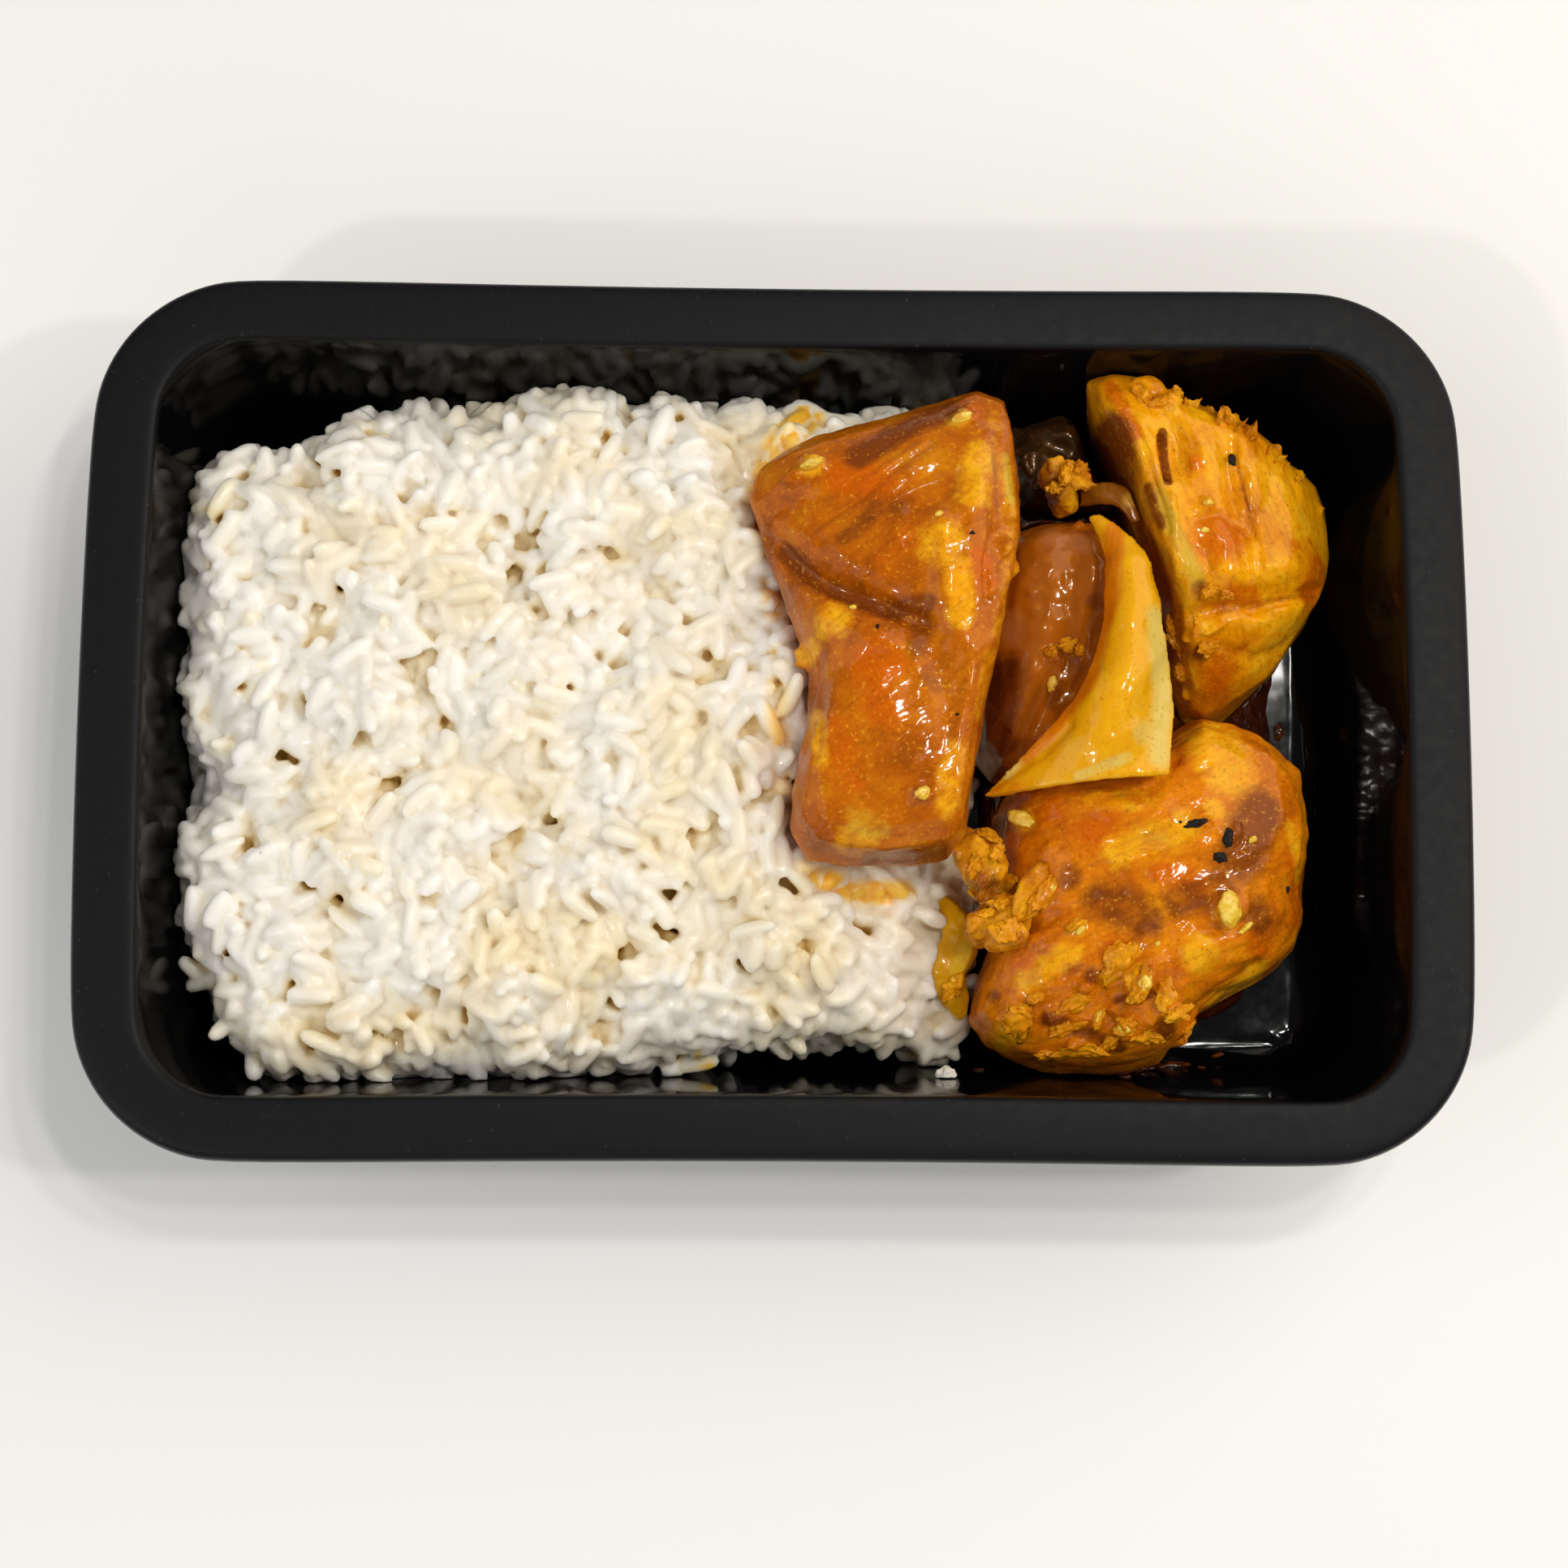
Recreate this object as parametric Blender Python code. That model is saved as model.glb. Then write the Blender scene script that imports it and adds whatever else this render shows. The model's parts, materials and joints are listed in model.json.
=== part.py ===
"""A black plastic takeaway tray with boiled rice and a chicken curry.

Metres, +Z up. The origin is on the table, under the middle of the tray. +X runs along the tray's long side
towards the curry, and +Y runs towards its far long side.
"""

import bisect
import math
import random

import bmesh
import bpy
from mathutils import Euler, Vector, noise

MM = 0.001
GAP = 0.35 * MM
CUT_CLEARANCE = 0.6 * MM
SEED = 11

# Tray: a thermoformed shell with a flat sealing flange and a short turned-down lip.
TRAY_HALF_LENGTH = 108.6 * MM
TRAY_HALF_WIDTH = 70.9 * MM
TRAY_HEIGHT = 40.0 * MM
TRAY_WALL = 0.9 * MM
TRAY_CORNER_RADIUS = 24.4 * MM
FLANGE_WIDTH = 10.4 * MM
LIP_DROP = 2.8 * MM
SHORT_SIDE_BULGE = 1.4 * MM
LONG_SIDE_PINCH = 1.15 * MM
WALL_FOOT_INSET = 16.4 * MM
WALL_FOOT_HEIGHT = 5.0 * MM
FLOOR_INSET = 20.5 * MM
CORNER_STEPS = 6
SIDE_STEPS = 4

# Rice: a heap that fills the tray's left three fifths.
RICE_CENTRE = (-32.0 * MM, -1.0 * MM)
RICE_HALF_LENGTH = 66.0 * MM
RICE_HALF_WIDTH = 55.0 * MM
RICE_CROWN = 36.5 * MM
RICE_EDGE_HEIGHT = 25.5 * MM
RICE_SLOPE_START = 4.0 * MM
RICE_SLOPE_END = 34.0 * MM
RICE_STEP = 4.2 * MM
GRAIN_LENGTH = 9.0 * MM
GRAIN_WIDTH = 3.0 * MM
BUMP_GRAINS = 700
FUSED_GRAINS = 78
RICE_OUTLINE = [
    (34.0, 0.8), (33.5, 29.1), (31.5, 49.4), (26.2, 56.4), (18.9, 54.9), (8.2, 52.8), (-9.1, 56.0),
    (-21.1, 55.8), (-34.5, 60.1), (-47.6, 53.5), (-64.8, 52.6), (-78.4, 47.3), (-93.5, 44.3),
    (-100.2, 33.2), (-99.1, 14.6), (-96.7, 2.6), (-95.0, -7.9), (-96.4, -23.5), (-91.4, -40.3),
    (-84.0, -52.8), (-71.1, -57.2), (-45.6, -56.8), (-32.7, -55.5), (-12.2, -52.8), (10.9, -49.6),
    (26.9, -52.4), (32.5, -46.7), (33.5, -23.4),
]

# Curry: every piece stands on this height over the tray's floor.
FOOD_FLOOR = TRAY_WALL + GAP
OUTLINE_STEPS = 38
TOP_RINGS = 9
FOOT_RINGS = 2
EDGE_POWER = 2.3

# Colours of the finishes, as linear red, green and blue.
BLACK_PLASTIC = ((0.012, 0.012, 0.014), 0.32)
BOILED_RICE = ((0.80, 0.77, 0.68), 0.45)
CURRIED_CHICKEN = ((0.62, 0.24, 0.02), 0.35)
STEWED_ONION = ((0.60, 0.38, 0.06), 0.22)
CURRY_GRAVY = ((0.30, 0.09, 0.01), 0.20)


def clear_scene():
    for old in list(bpy.data.objects):
        bpy.data.objects.remove(old, do_unlink=True)


def finish_material(name, finish):
    colour, roughness = finish
    material = bpy.data.materials.new(name)
    material.use_nodes = True
    shader = material.node_tree.nodes["Principled BSDF"]
    shader.inputs["Base Color"].default_value = (*colour, 1.0)
    shader.inputs["Roughness"].default_value = roughness
    shader.inputs["Metallic"].default_value = 0.0
    return material


def object_from_bmesh(name, shape, material=None):
    """Turns a bmesh into a named object whose faces point outwards."""
    bmesh.ops.remove_doubles(shape, verts=shape.verts, dist=0.01 * MM)
    bmesh.ops.recalc_face_normals(shape, faces=shape.faces)
    mesh = bpy.data.meshes.new(name)
    shape.to_mesh(mesh)
    shape.free()
    mesh.shade_smooth()
    thing = bpy.data.objects.new(name, mesh)
    bpy.context.scene.collection.objects.link(thing)
    if material:
        mesh.materials.append(material)
    return thing


def bridge_rings(shape, rings, close_start=True, close_end=True):
    """Joins rings of the same number of points, and fills the two end rings."""
    loops = [[shape.verts.new(point) for point in ring] for ring in rings]
    for lower, upper in zip(loops, loops[1:]):
        count = len(lower)
        for i in range(count):
            j = (i + 1) % count
            shape.faces.new((lower[i], lower[j], upper[j], upper[i]))
    if close_start:
        shape.faces.new(reversed(loops[0]))
    if close_end:
        shape.faces.new(loops[-1])
    return loops


def apply_boolean(thing, operation, cutters, solver="EXACT"):
    """Joins, cuts or trims a thing with helper objects, which are then removed."""
    helpers = bpy.data.collections.new(thing.name + "_helpers")
    bpy.context.scene.collection.children.link(helpers)
    for cutter in cutters:
        bpy.context.scene.collection.objects.unlink(cutter)
        helpers.objects.link(cutter)
    modifier = thing.modifiers.new(operation.lower(), "BOOLEAN")
    modifier.operation = operation
    modifier.solver = solver
    modifier.operand_type = "COLLECTION"
    modifier.collection = helpers
    graph = bpy.context.evaluated_depsgraph_get()
    made = bpy.data.meshes.new_from_object(thing.evaluated_get(graph))
    thing.modifiers.clear()
    thing.data = made
    for cutter in list(helpers.objects):
        bpy.data.objects.remove(cutter, do_unlink=True)
    bpy.data.collections.remove(helpers)


def keep_largest_body(thing):
    """Drops the loose scraps that a cut can leave."""
    shape = bmesh.new()
    shape.from_mesh(thing.data)
    unseen = set(shape.verts)
    bodies = []
    while unseen:
        start = unseen.pop()
        body, front = {start}, [start]
        while front:
            for edge in front.pop().link_edges:
                for vert in edge.verts:
                    if vert in unseen:
                        unseen.discard(vert)
                        body.add(vert)
                        front.append(vert)
        bodies.append(body)
    bodies.sort(key=len, reverse=True)
    for body in bodies[1:]:
        bmesh.ops.delete(shape, geom=list(body), context="VERTS")
    shape.to_mesh(thing.data)
    shape.free()


def tray_ring(inset, height, radius):
    """A rounded rectangle, inset from the tray's outer edge, with bowed ends and drawn-in long sides."""
    half_x, half_y = TRAY_HALF_LENGTH - inset, TRAY_HALF_WIDTH - inset
    corners = [(1, 1, 0), (-1, 1, 90), (-1, -1, 180), (1, -1, 270)]
    points = []
    for index, (sign_x, sign_y, start) in enumerate(corners):
        centre = Vector((sign_x * (half_x - radius), sign_y * (half_y - radius)))
        for step in range(CORNER_STEPS + 1):
            angle = math.radians(start + 90 * step / CORNER_STEPS)
            points.append(centre + radius * Vector((math.cos(angle), math.sin(angle))))
        next_x, next_y, next_start = corners[(index + 1) % 4]
        angle = math.radians(next_start)
        goal = Vector((next_x * (half_x - radius), next_y * (half_y - radius)))
        goal = goal + radius * Vector((math.cos(angle), math.sin(angle)))
        begin = points[-1]
        for step in range(1, SIDE_STEPS):
            points.append(begin.lerp(goal, step / SIDE_STEPS))
    bowed = []
    for point in points:
        across, along = point.y / half_y, point.x / half_x
        x = point.x + along * SHORT_SIDE_BULGE * (1 - across * across)
        y = point.y - across * LONG_SIDE_PINCH * (1 - along * along)
        bowed.append(Vector((x, y, height)))
    return bowed


def wall_inset(height):
    """How far the inside of the wall lies in from the outer edge at a height."""
    share = (height - WALL_FOOT_HEIGHT) / (TRAY_HEIGHT - WALL_FOOT_HEIGHT)
    return WALL_FOOT_INSET + (FLANGE_WIDTH - WALL_FOOT_INSET) * share


def make_tray(material):
    """One shell: inner floor, wall, flange, lip, then back down the outside to the base."""
    top, wall = TRAY_HEIGHT, TRAY_WALL
    inner = [
        (FLOOR_INSET, wall, 7.0 * MM),
        (FLOOR_INSET - 2.9 * MM, 2.1 * MM, 9.0 * MM),
        (WALL_FOOT_INSET, WALL_FOOT_HEIGHT, 10.5 * MM),
        (wall_inset(22 * MM), 22 * MM, 12.2 * MM),
        (wall_inset(top - 1.2 * MM), top - 1.2 * MM, 13.8 * MM),
        (FLANGE_WIDTH - 0.3 * MM, top - 0.3 * MM, 14.0 * MM),
        (FLANGE_WIDTH - 1.1 * MM, top, 14.6 * MM),
    ]
    flange = [
        (1.9 * MM, top, 22.5 * MM),
        (0.9 * MM, top - 0.35 * MM, 23.5 * MM),
        (0.3 * MM, top - 1.2 * MM, 24.1 * MM),
        (0.0, top - LIP_DROP, TRAY_CORNER_RADIUS),
        (wall, top - LIP_DROP, TRAY_CORNER_RADIUS - wall),
        (1.6 * MM, top - wall - 0.5 * MM, 22.8 * MM),
        (FLANGE_WIDTH - 1.8 * MM, top - wall - 0.3 * MM, 15.2 * MM),
    ]
    outer = [
        (wall_inset(top - 3 * MM) - wall, top - 3 * MM, 14.7 * MM),
        (WALL_FOOT_INSET - wall, WALL_FOOT_HEIGHT - 0.2 * MM, 11.4 * MM),
        (FLOOR_INSET - 3.4 * MM, 1.3 * MM, 9.8 * MM),
        (FLOOR_INSET - 0.6 * MM, 0.0, 7.6 * MM),
    ]
    shape = bmesh.new()
    bridge_rings(shape, [tray_ring(*row) for row in inner + flange + outer])
    return object_from_bmesh("tray", shape, material)


def make_cavity():
    """The space inside the tray less a gap, with which food is trimmed."""
    rows = [
        (FLOOR_INSET + 0.4 * MM, FOOD_FLOOR, 7.4 * MM),
        (FLOOR_INSET - 2.0 * MM, 2.6 * MM, 9.4 * MM),
        (WALL_FOOT_INSET + GAP, WALL_FOOT_HEIGHT + 0.4 * MM, 10.6 * MM),
        (wall_inset(TRAY_HEIGHT) + GAP, TRAY_HEIGHT, 13.8 * MM),
        (wall_inset(TRAY_HEIGHT) + GAP, TRAY_HEIGHT * 1.8, 13.8 * MM),
    ]
    shape = bmesh.new()
    bridge_rings(shape, [tray_ring(*row) for row in rows])
    return object_from_bmesh("cavity", shape)


def spline_point(before, start, end, after, share):
    """A Catmull-Rom curve through start and end."""
    square, cube = share * share, share * share * share
    return 0.5 * (
        2 * start
        + (end - before) * share
        + (2 * before - 5 * start + 4 * end - after) * square
        + (3 * start - before - 3 * end + after) * cube
    )


def closed_outline(corners, steps):
    """Evenly spaced points on a smooth closed curve through the corners."""
    corners = [Vector(corner) for corner in corners]
    count, fine = len(corners), []
    for i in range(count):
        around = [corners[(i + k) % count] for k in (-1, 0, 1, 2)]
        fine += [spline_point(*around, step / 12) for step in range(12)]
    return resample(fine + [fine[0]], steps + 1)[:-1]


def open_curve(corners, steps):
    """Evenly spaced points on a smooth curve from the first corner to the last."""
    corners = [Vector(corner) for corner in corners]
    ends = [2 * corners[0] - corners[1], *corners, 2 * corners[-1] - corners[-2]]
    fine = []
    for i in range(len(corners) - 1):
        fine += [spline_point(*ends[i:i + 4], step / 12) for step in range(12)]
    return resample(fine + [corners[-1]], steps)


def resample(points, count):
    """The same path as this many evenly spaced points."""
    lengths = [0.0]
    for a, b in zip(points, points[1:]):
        lengths.append(lengths[-1] + (b - a).length)
    made, at = [], 0
    for step in range(count):
        goal = lengths[-1] * step / (count - 1)
        while at < len(points) - 2 and lengths[at + 1] < goal:
            at += 1
        span = max(lengths[at + 1] - lengths[at], 1e-9)
        made.append(points[at].lerp(points[at + 1], min(1.0, (goal - lengths[at]) / span)))
    return made


def soft_minimum(values, softness):
    """The smallest value, with the edge between two rounded over."""
    least = min(values)
    total = sum(math.exp((least - value) / softness) for value in values)
    return least - softness * math.log(total)


def crease_depth(x, y, creases):
    """How far the cuts and folds of the surface lie below it at a place."""
    depth = 0.0
    for (x0, y0), (x1, y1), deep, wide in creases:
        start, along = Vector((x0, y0)), Vector((x1 - x0, y1 - y0))
        share = max(0.0, min(1.0, (Vector((x, y)) - start).dot(along) / along.length_squared))
        distance = (start + along * share - Vector((x, y))).length
        depth += deep * math.exp(-((distance / wide) ** 2)) * math.sin(math.pi * (0.12 + 0.76 * share))
    return depth


def make_chunk(name, form, material=None, grow=0.0):
    """A boiled chunk: an outline, cut faces on top, rounded edges and a flat foot."""
    centre = Vector(form["centre"]) * MM
    outline = closed_outline([Vector(c) * MM for c in form["outline"]], form.get("steps", OUTLINE_STEPS))
    waist, foot = form["waist"] * MM, form["foot"] * MM
    top_rings, foot_rings = form.get("rings", (TOP_RINGS, FOOT_RINGS))
    sharp_side = Vector(form.get("sharp_side", (0, 0)))
    edge, taper = form["edge"] * MM, form["taper"]
    creases = [
        [(a[0] * MM, a[1] * MM), (b[0] * MM, b[1] * MM), deep * MM, wide * MM]
        for a, b, deep, wide in form["creases"]
    ]
    tilt = Vector(form.get("tilt", (0, 0)))

    def lean(x, y):
        return tilt.dot(Vector((x, y)) - centre)

    def top_height(x, y):
        faces = [
            z * MM + (x - x0 * MM) * slope_x + (y - y0 * MM) * slope_y
            for x0, y0, z, slope_x, slope_y in form["faces"]
        ]
        return soft_minimum(faces, form["softness"] * MM)

    def edge_width(point):
        facing = max(0.0, (point - centre).normalized().dot(sharp_side))
        return edge * (1 - 0.72 * facing * facing)

    rings = []
    for ring in range(foot_rings, 0, -1):
        share = ring / foot_rings
        drop = math.sin(share * math.pi / 2) ** 0.8
        inward = 0.75 * taper * share + (0.25 * taper) * (1 - math.cos(share * math.pi / 2))
        row = []
        for point in outline:
            place = point.lerp(centre, inward)
            z = waist + (foot - waist) * drop + lean(place.x, place.y)
            row.append(Vector((place.x, place.y, z)))
        rings.append(row)
    for ring in range(top_rings):
        share = (ring / top_rings) ** 1.3
        row = []
        for point in outline:
            place = point.lerp(centre, share)
            rise = min(1.0, (place - point).length / edge_width(point))
            lift = (1 - (1 - rise) ** EDGE_POWER) ** (1 / EDGE_POWER)
            base = waist + lean(place.x, place.y)
            z = base + (top_height(place.x, place.y) - base) * lift
            z -= crease_depth(place.x, place.y, creases) * rise
            row.append(Vector((place.x, place.y, z)))
        rings.append(row)
    shape = bmesh.new()
    loops = bridge_rings(shape, rings, close_end=False)
    middle_height = top_height(*centre) - crease_depth(*centre, creases)
    middle = shape.verts.new((centre.x, centre.y, middle_height))
    last = loops[-1]
    for i, vert in enumerate(last):
        shape.faces.new((vert, last[(i + 1) % len(last)], middle))
    bmesh.ops.triangulate(shape, faces=[face for face in shape.faces if len(face.verts) > 4])
    shape.normal_update()
    roughen(shape, form["relief"] * MM, form["grain"] * MM, foot + 1.0 * MM, grow)
    return object_from_bmesh(name, shape, material)


def roughen(shape, relief, grain, keep_below, grow):
    """Moves the surface in and out by smooth noise, and out by a clearance for a cutter."""
    moves = []
    for vert in shape.verts:
        away = 0.0 if vert.co.z < keep_below else 1.0
        wave = noise.noise(vert.co / grain) + 0.5 * noise.noise(vert.co * 2.3 / grain)
        moves.append(vert.normal * (away * relief * wave + grow))
    for vert, move in zip(shape.verts, moves):
        vert.co += move


# The forms of the chunks, in millimetres. faces are the cut faces on top, each as a point x, y, z on it
# and its slope along X and Y. creases are grooves from one place to another, with a depth and a width.
CHICKEN_LEFT = {
    "centre": (19.0, 13.0), "waist": 38.0, "foot": 23.0, "edge": 7.0, "taper": 0.22, "softness": 1.1,
    "sharp_side": (0.95, 0.31),
    "outline": [
        (-5.2, 34.3), (-3.4, 39.5), (2.1, 43.0), (16.8, 48.1), (32.6, 53.2), (36.2, 51.5), (37.9, 41.7),
        (38.6, 30.2), (36.6, 19.6), (34.0, 6.1), (31.0, -8.2), (28.9, -19.8), (24.1, -22.9),
        (9.2, -23.5), (3.2, -20.7), (2.2, -13.3), (4.6, -1.2), (5.0, 5.9), (1.9, 14.8), (-2.3, 26.3),
    ],
    "faces": [
        (20, 30, 51.0, 0.12, -0.05), (16, -5, 48.8, 0.04, 0.07), (34, 20, 49.0, -1.15, 0.06),
        (15, 44, 46.5, 0.08, -0.55), (0, 34, 45.5, 0.55, 0.0),
    ],
    "creases": [
        ((-1, 24), (25, 12), 2.6, 2.6), ((1, 31), (24, 41), 1.3, 2.0), ((6, 24), (30, 36), 1.1, 1.5),
        ((25, 14), (26, -6), 1.2, 2.2), ((33.5, 46), (33.5, 22), 1.5, 1.3), ((12, 16), (22, -14), -0.9, 4.5),
        ((14, 38), (31, 47), -0.9, 2.2),
    ],
    "tilt": (-0.10, 0.04), "relief": 0.6, "grain": 7.0,
}
CHICKEN_UPPER = {
    "centre": (72.0, 32.0), "waist": 19.0, "foot": 1.25, "edge": 7.5, "taper": 0.16, "softness": 1.0,
    "sharp_side": (-0.92, -0.39),
    "outline": [
        (50.4, 57.0), (54.5, 58.6), (61.2, 57.7), (65.5, 54.7), (72.8, 52.7), (80.4, 48.9), (86.4, 44.1),
        (90.0, 41.2), (92.0, 34.6), (92.4, 29.9), (91.2, 24.9), (88.2, 18.8), (81.6, 9.4), (72.0, 2.6),
        (68.2, 3.6), (65.2, 12.0), (61.0, 25.4), (57.0, 39.0), (52.6, 50.0),
    ],
    "faces": [
        (66, 34, 38.2, -0.20, -0.05), (84, 32, 31.5, -0.85, -0.15), (78, 14, 27.5, -0.25, 1.0),
        (60, 52, 36.5, -0.1, -0.5),
    ],
    "creases": [
        ((71, 51), (75.5, 21), 2.4, 1.5), ((73, 20), (88, 24), 3.0, 1.8), ((63.2, 48.6), (64.4, 39.5), 4.5, 1.2),
        ((66, 32), (72, 17), 1.1, 2.4), ((60, 36), (68, 6), 1.1, 1.2), ((79, 44), (80, 27), 1.0, 1.4),
    ],
    "tilt": (-0.05, 0.38), "relief": 0.65, "grain": 6.5,
}
CHICKEN_LOWER = {
    "centre": (60.0, -27.0), "waist": 15.0, "foot": 1.25, "edge": 10.0, "taper": 0.22, "softness": 1.5,
    "outline": [
        (69.8, 3.5), (77.5, 1.7), (82.1, -0.9), (86.6, -6.4), (87.8, -16.1), (86.8, -25.4),
        (86.2, -32.6), (82.1, -37.8), (76.2, -41.5), (69.2, -45.4), (65.3, -50.8), (59.3, -54.3),
        (49.2, -55.5), (40.5, -53.6), (33.7, -49.6), (32.1, -43.8), (34.4, -36.5), (37.4, -28.2),
        (35.8, -15.7), (40.0, -7.4), (54.4, -5.5), (63.1, -1.0),
    ],
    "faces": [
        (58, -24, 36.0, 0.03, 0.06), (44, -44, 31.0, 0.10, 0.45), (78, -34, 31.0, -0.60, 0.32),
        (40, -18, 31.5, 0.45, 0.0), (72, -12, 35.5, -0.25, -0.12),
    ],
    "creases": [
        ((36, -33), (62, -20), 1.3, 2.8), ((60, -52), (70, -38), 2.8, 1.9), ((34, -42), (52, -48), 1.8, 2.2),
        ((60, -16), (80, -22), -1.0, 5.0), ((55, -38), (66, -30), 1.2, 1.8),
    ],
    "tilt": (0.06, 0.0), "relief": 0.9, "grain": 5.6,
}
ONION_HEART = {
    "centre": (46.5, 17.0), "waist": 14.0, "foot": 1.25, "edge": 11.0, "taper": 0.14, "softness": 2.0,
    "steps": 24, "rings": (6, 2),
    "outline": [
        (34.0, 26.0), (38.0, 33.6), (45.0, 36.0), (55.0, 35.4), (58.4, 28.0), (57.0, 15.0), (54.0, 4.0),
        (48.0, -5.4), (38.0, -7.6), (33.0, -3.0), (33.0, 6.0), (32.6, 16.0),
    ],
    "faces": [(44, 22, 33.4, -0.06, 0.08), (40, 0, 28.8, 0.0, 0.26)],
    "creases": [((48.5, 31), (46.0, 6), 0.9, 1.6)],
    "relief": 0.4, "grain": 8.0,
}
ONION_BACK = {
    "centre": (49.0, 45.0), "waist": 9.0, "foot": 1.25, "edge": 6.0, "taper": 0.12, "softness": 1.5,
    "steps": 24, "rings": (5, 2),
    "outline": [
        (38.0, 51.0), (43.0, 54.4), (49.0, 54.8), (52.6, 48.0), (56.0, 39.0), (57.0, 37.6), (49.0, 37.2),
        (41.0, 37.4), (38.4, 43.0),
    ],
    "faces": [(46, 46, 24.5, -0.10, 0.05), (40, 46, 22.5, 0.5, 0.0)],
    "creases": [((42, 50), (54, 44), 1.2, 1.8)],
    "relief": 0.5, "grain": 5.0,
}


def make_onion_petal(material):
    """A curved leaf of onion that lies over the heart, with its left edge lifted."""
    left = open_curve(
        [(49.6, 33.4, 35.0), (52.8, 24.0, 36.8), (51.2, 12.0, 37.2), (47.8, 4.4, 37.0), (41.8, -2.2, 36.2),
         (36.8, -7.6, 34.6), (32.6, -11.8, 32.6)], 14)
    right = open_curve(
        [(51.6, 33.8, 35.2), (56.2, 29.4, 37.6), (59.8, 20.0, 38.4), (62.2, 8.6, 37.6), (62.9, 1.0, 37.2),
         (62.0, -8.9, 38.0)], 14)
    return make_leaf("onion_petal", left, right, 4.4, 1.9, 7, material)


def make_leaf(name, left, right, crown, thickness, columns, material):
    """A thin curved sheet between two edges, highest along its middle, with both faces alike."""
    crown, thickness = crown * MM, thickness * MM
    rows = len(left)
    grid = []
    for row in range(rows):
        a, b = left[row] * MM, right[row] * MM
        width = min(1.0, (b - a).length / (16 * MM))
        line = []
        for column in range(columns + 1):
            share = column / columns
            bend = crown * width * math.sin(math.pi * share)
            line.append(a.lerp(b, share) + Vector((0, 0, bend)))
        grid.append(line)
    shape = bmesh.new()
    upper = [[shape.verts.new(point) for point in line] for line in grid]
    for row in range(rows - 1):
        for column in range(columns):
            corners = (upper[row][column], upper[row][column + 1],
                       upper[row + 1][column + 1], upper[row + 1][column])
            shape.faces.new((corners[0], corners[2], corners[1]))
            shape.faces.new((corners[0], corners[3], corners[2]))
    shape.normal_update()
    for face in shape.faces:
        if face.normal.z < 0:
            face.normal_flip()
    shape.normal_update()
    lower = {vert: shape.verts.new(vert.co - vert.normal * thickness) for vert in list(shape.verts)}
    rim = [edge for edge in shape.edges if len(edge.link_faces) == 1]
    tops = list(shape.faces)
    for edge in rim:
        a, b = edge.verts
        shape.faces.new((a, b, lower[b]))
        shape.faces.new((a, lower[b], lower[a]))
    for face in tops:
        shape.faces.new([lower[vert] for vert in reversed(face.verts)])
    return object_from_bmesh(name, shape, material)


def make_strip(name, route, width, thickness, twist, material):
    """A soft strip that follows a route, with a lens-shaped section that turns along it."""
    points = open_curve(route, 11)
    shape = bmesh.new()
    rings = []
    for index, point in enumerate(points):
        ahead = points[min(index + 1, len(points) - 1)] - points[max(index - 1, 0)]
        ahead.normalize()
        side = ahead.cross(Vector((0, 0, 1))).normalized()
        up = side.cross(ahead)
        share = index / (len(points) - 1)
        full = 0.35 + 0.65 * math.sin(math.pi * (0.08 + 0.84 * share))
        turn = math.radians(twist) * (share - 0.5)
        ring = []
        for step in range(8):
            angle = 2 * math.pi * step / 8 + turn
            across = 0.5 * width * full * math.cos(angle - turn)
            high = 0.5 * thickness * full * math.sin(angle - turn)
            offset_x = across * math.cos(turn) - high * math.sin(turn)
            offset_z = across * math.sin(turn) + high * math.cos(turn)
            ring.append((point + side * offset_x + up * offset_z) * MM)
        rings.append(ring)
    bridge_rings(shape, rings)
    return object_from_bmesh(name, shape, material)


def make_lump(name, place, size, turn, material=None, rounds=2, wobble=0.18, share=1.0):
    """A small irregular bit: an icosphere, stretched, turned and dented."""
    shape = bmesh.new()
    bmesh.ops.create_icosphere(shape, subdivisions=rounds, radius=0.5)
    rotation = Euler([math.radians(angle) for angle in turn]).to_matrix()
    offset = Vector(place)
    for vert in shape.verts:
        dent = 1 + wobble * noise.noise(vert.co * 3.1 + offset)
        stretched = Vector(vert.co[i] * size[i] * dent for i in range(3))
        vert.co = (offset + rotation @ stretched * share) * MM
    return object_from_bmesh(name, shape, material)


def chicken_surface(thing, x, y):
    """The height of an object's top at a place in millimetres."""
    hit, place, _normal, _face = thing.ray_cast(Vector((x * MM, y * MM, 0.2)), Vector((0, 0, -1)))
    return place.z / MM if hit else 0.0


def fuse_bits(thing, bits):
    """Joins garlic pieces, seeds and shreds to the chunk that they lie on."""
    helpers = []
    for index, (x, y, size, turn, rounds) in enumerate(bits):
        z = chicken_surface(thing, x, y) + 0.12 * size[2]
        helpers.append(make_lump(f"bit_{index}", (x, y, z), size, turn, rounds=rounds))
    apply_boolean(thing, "UNION", helpers)
    keep_largest_body(thing)


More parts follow.
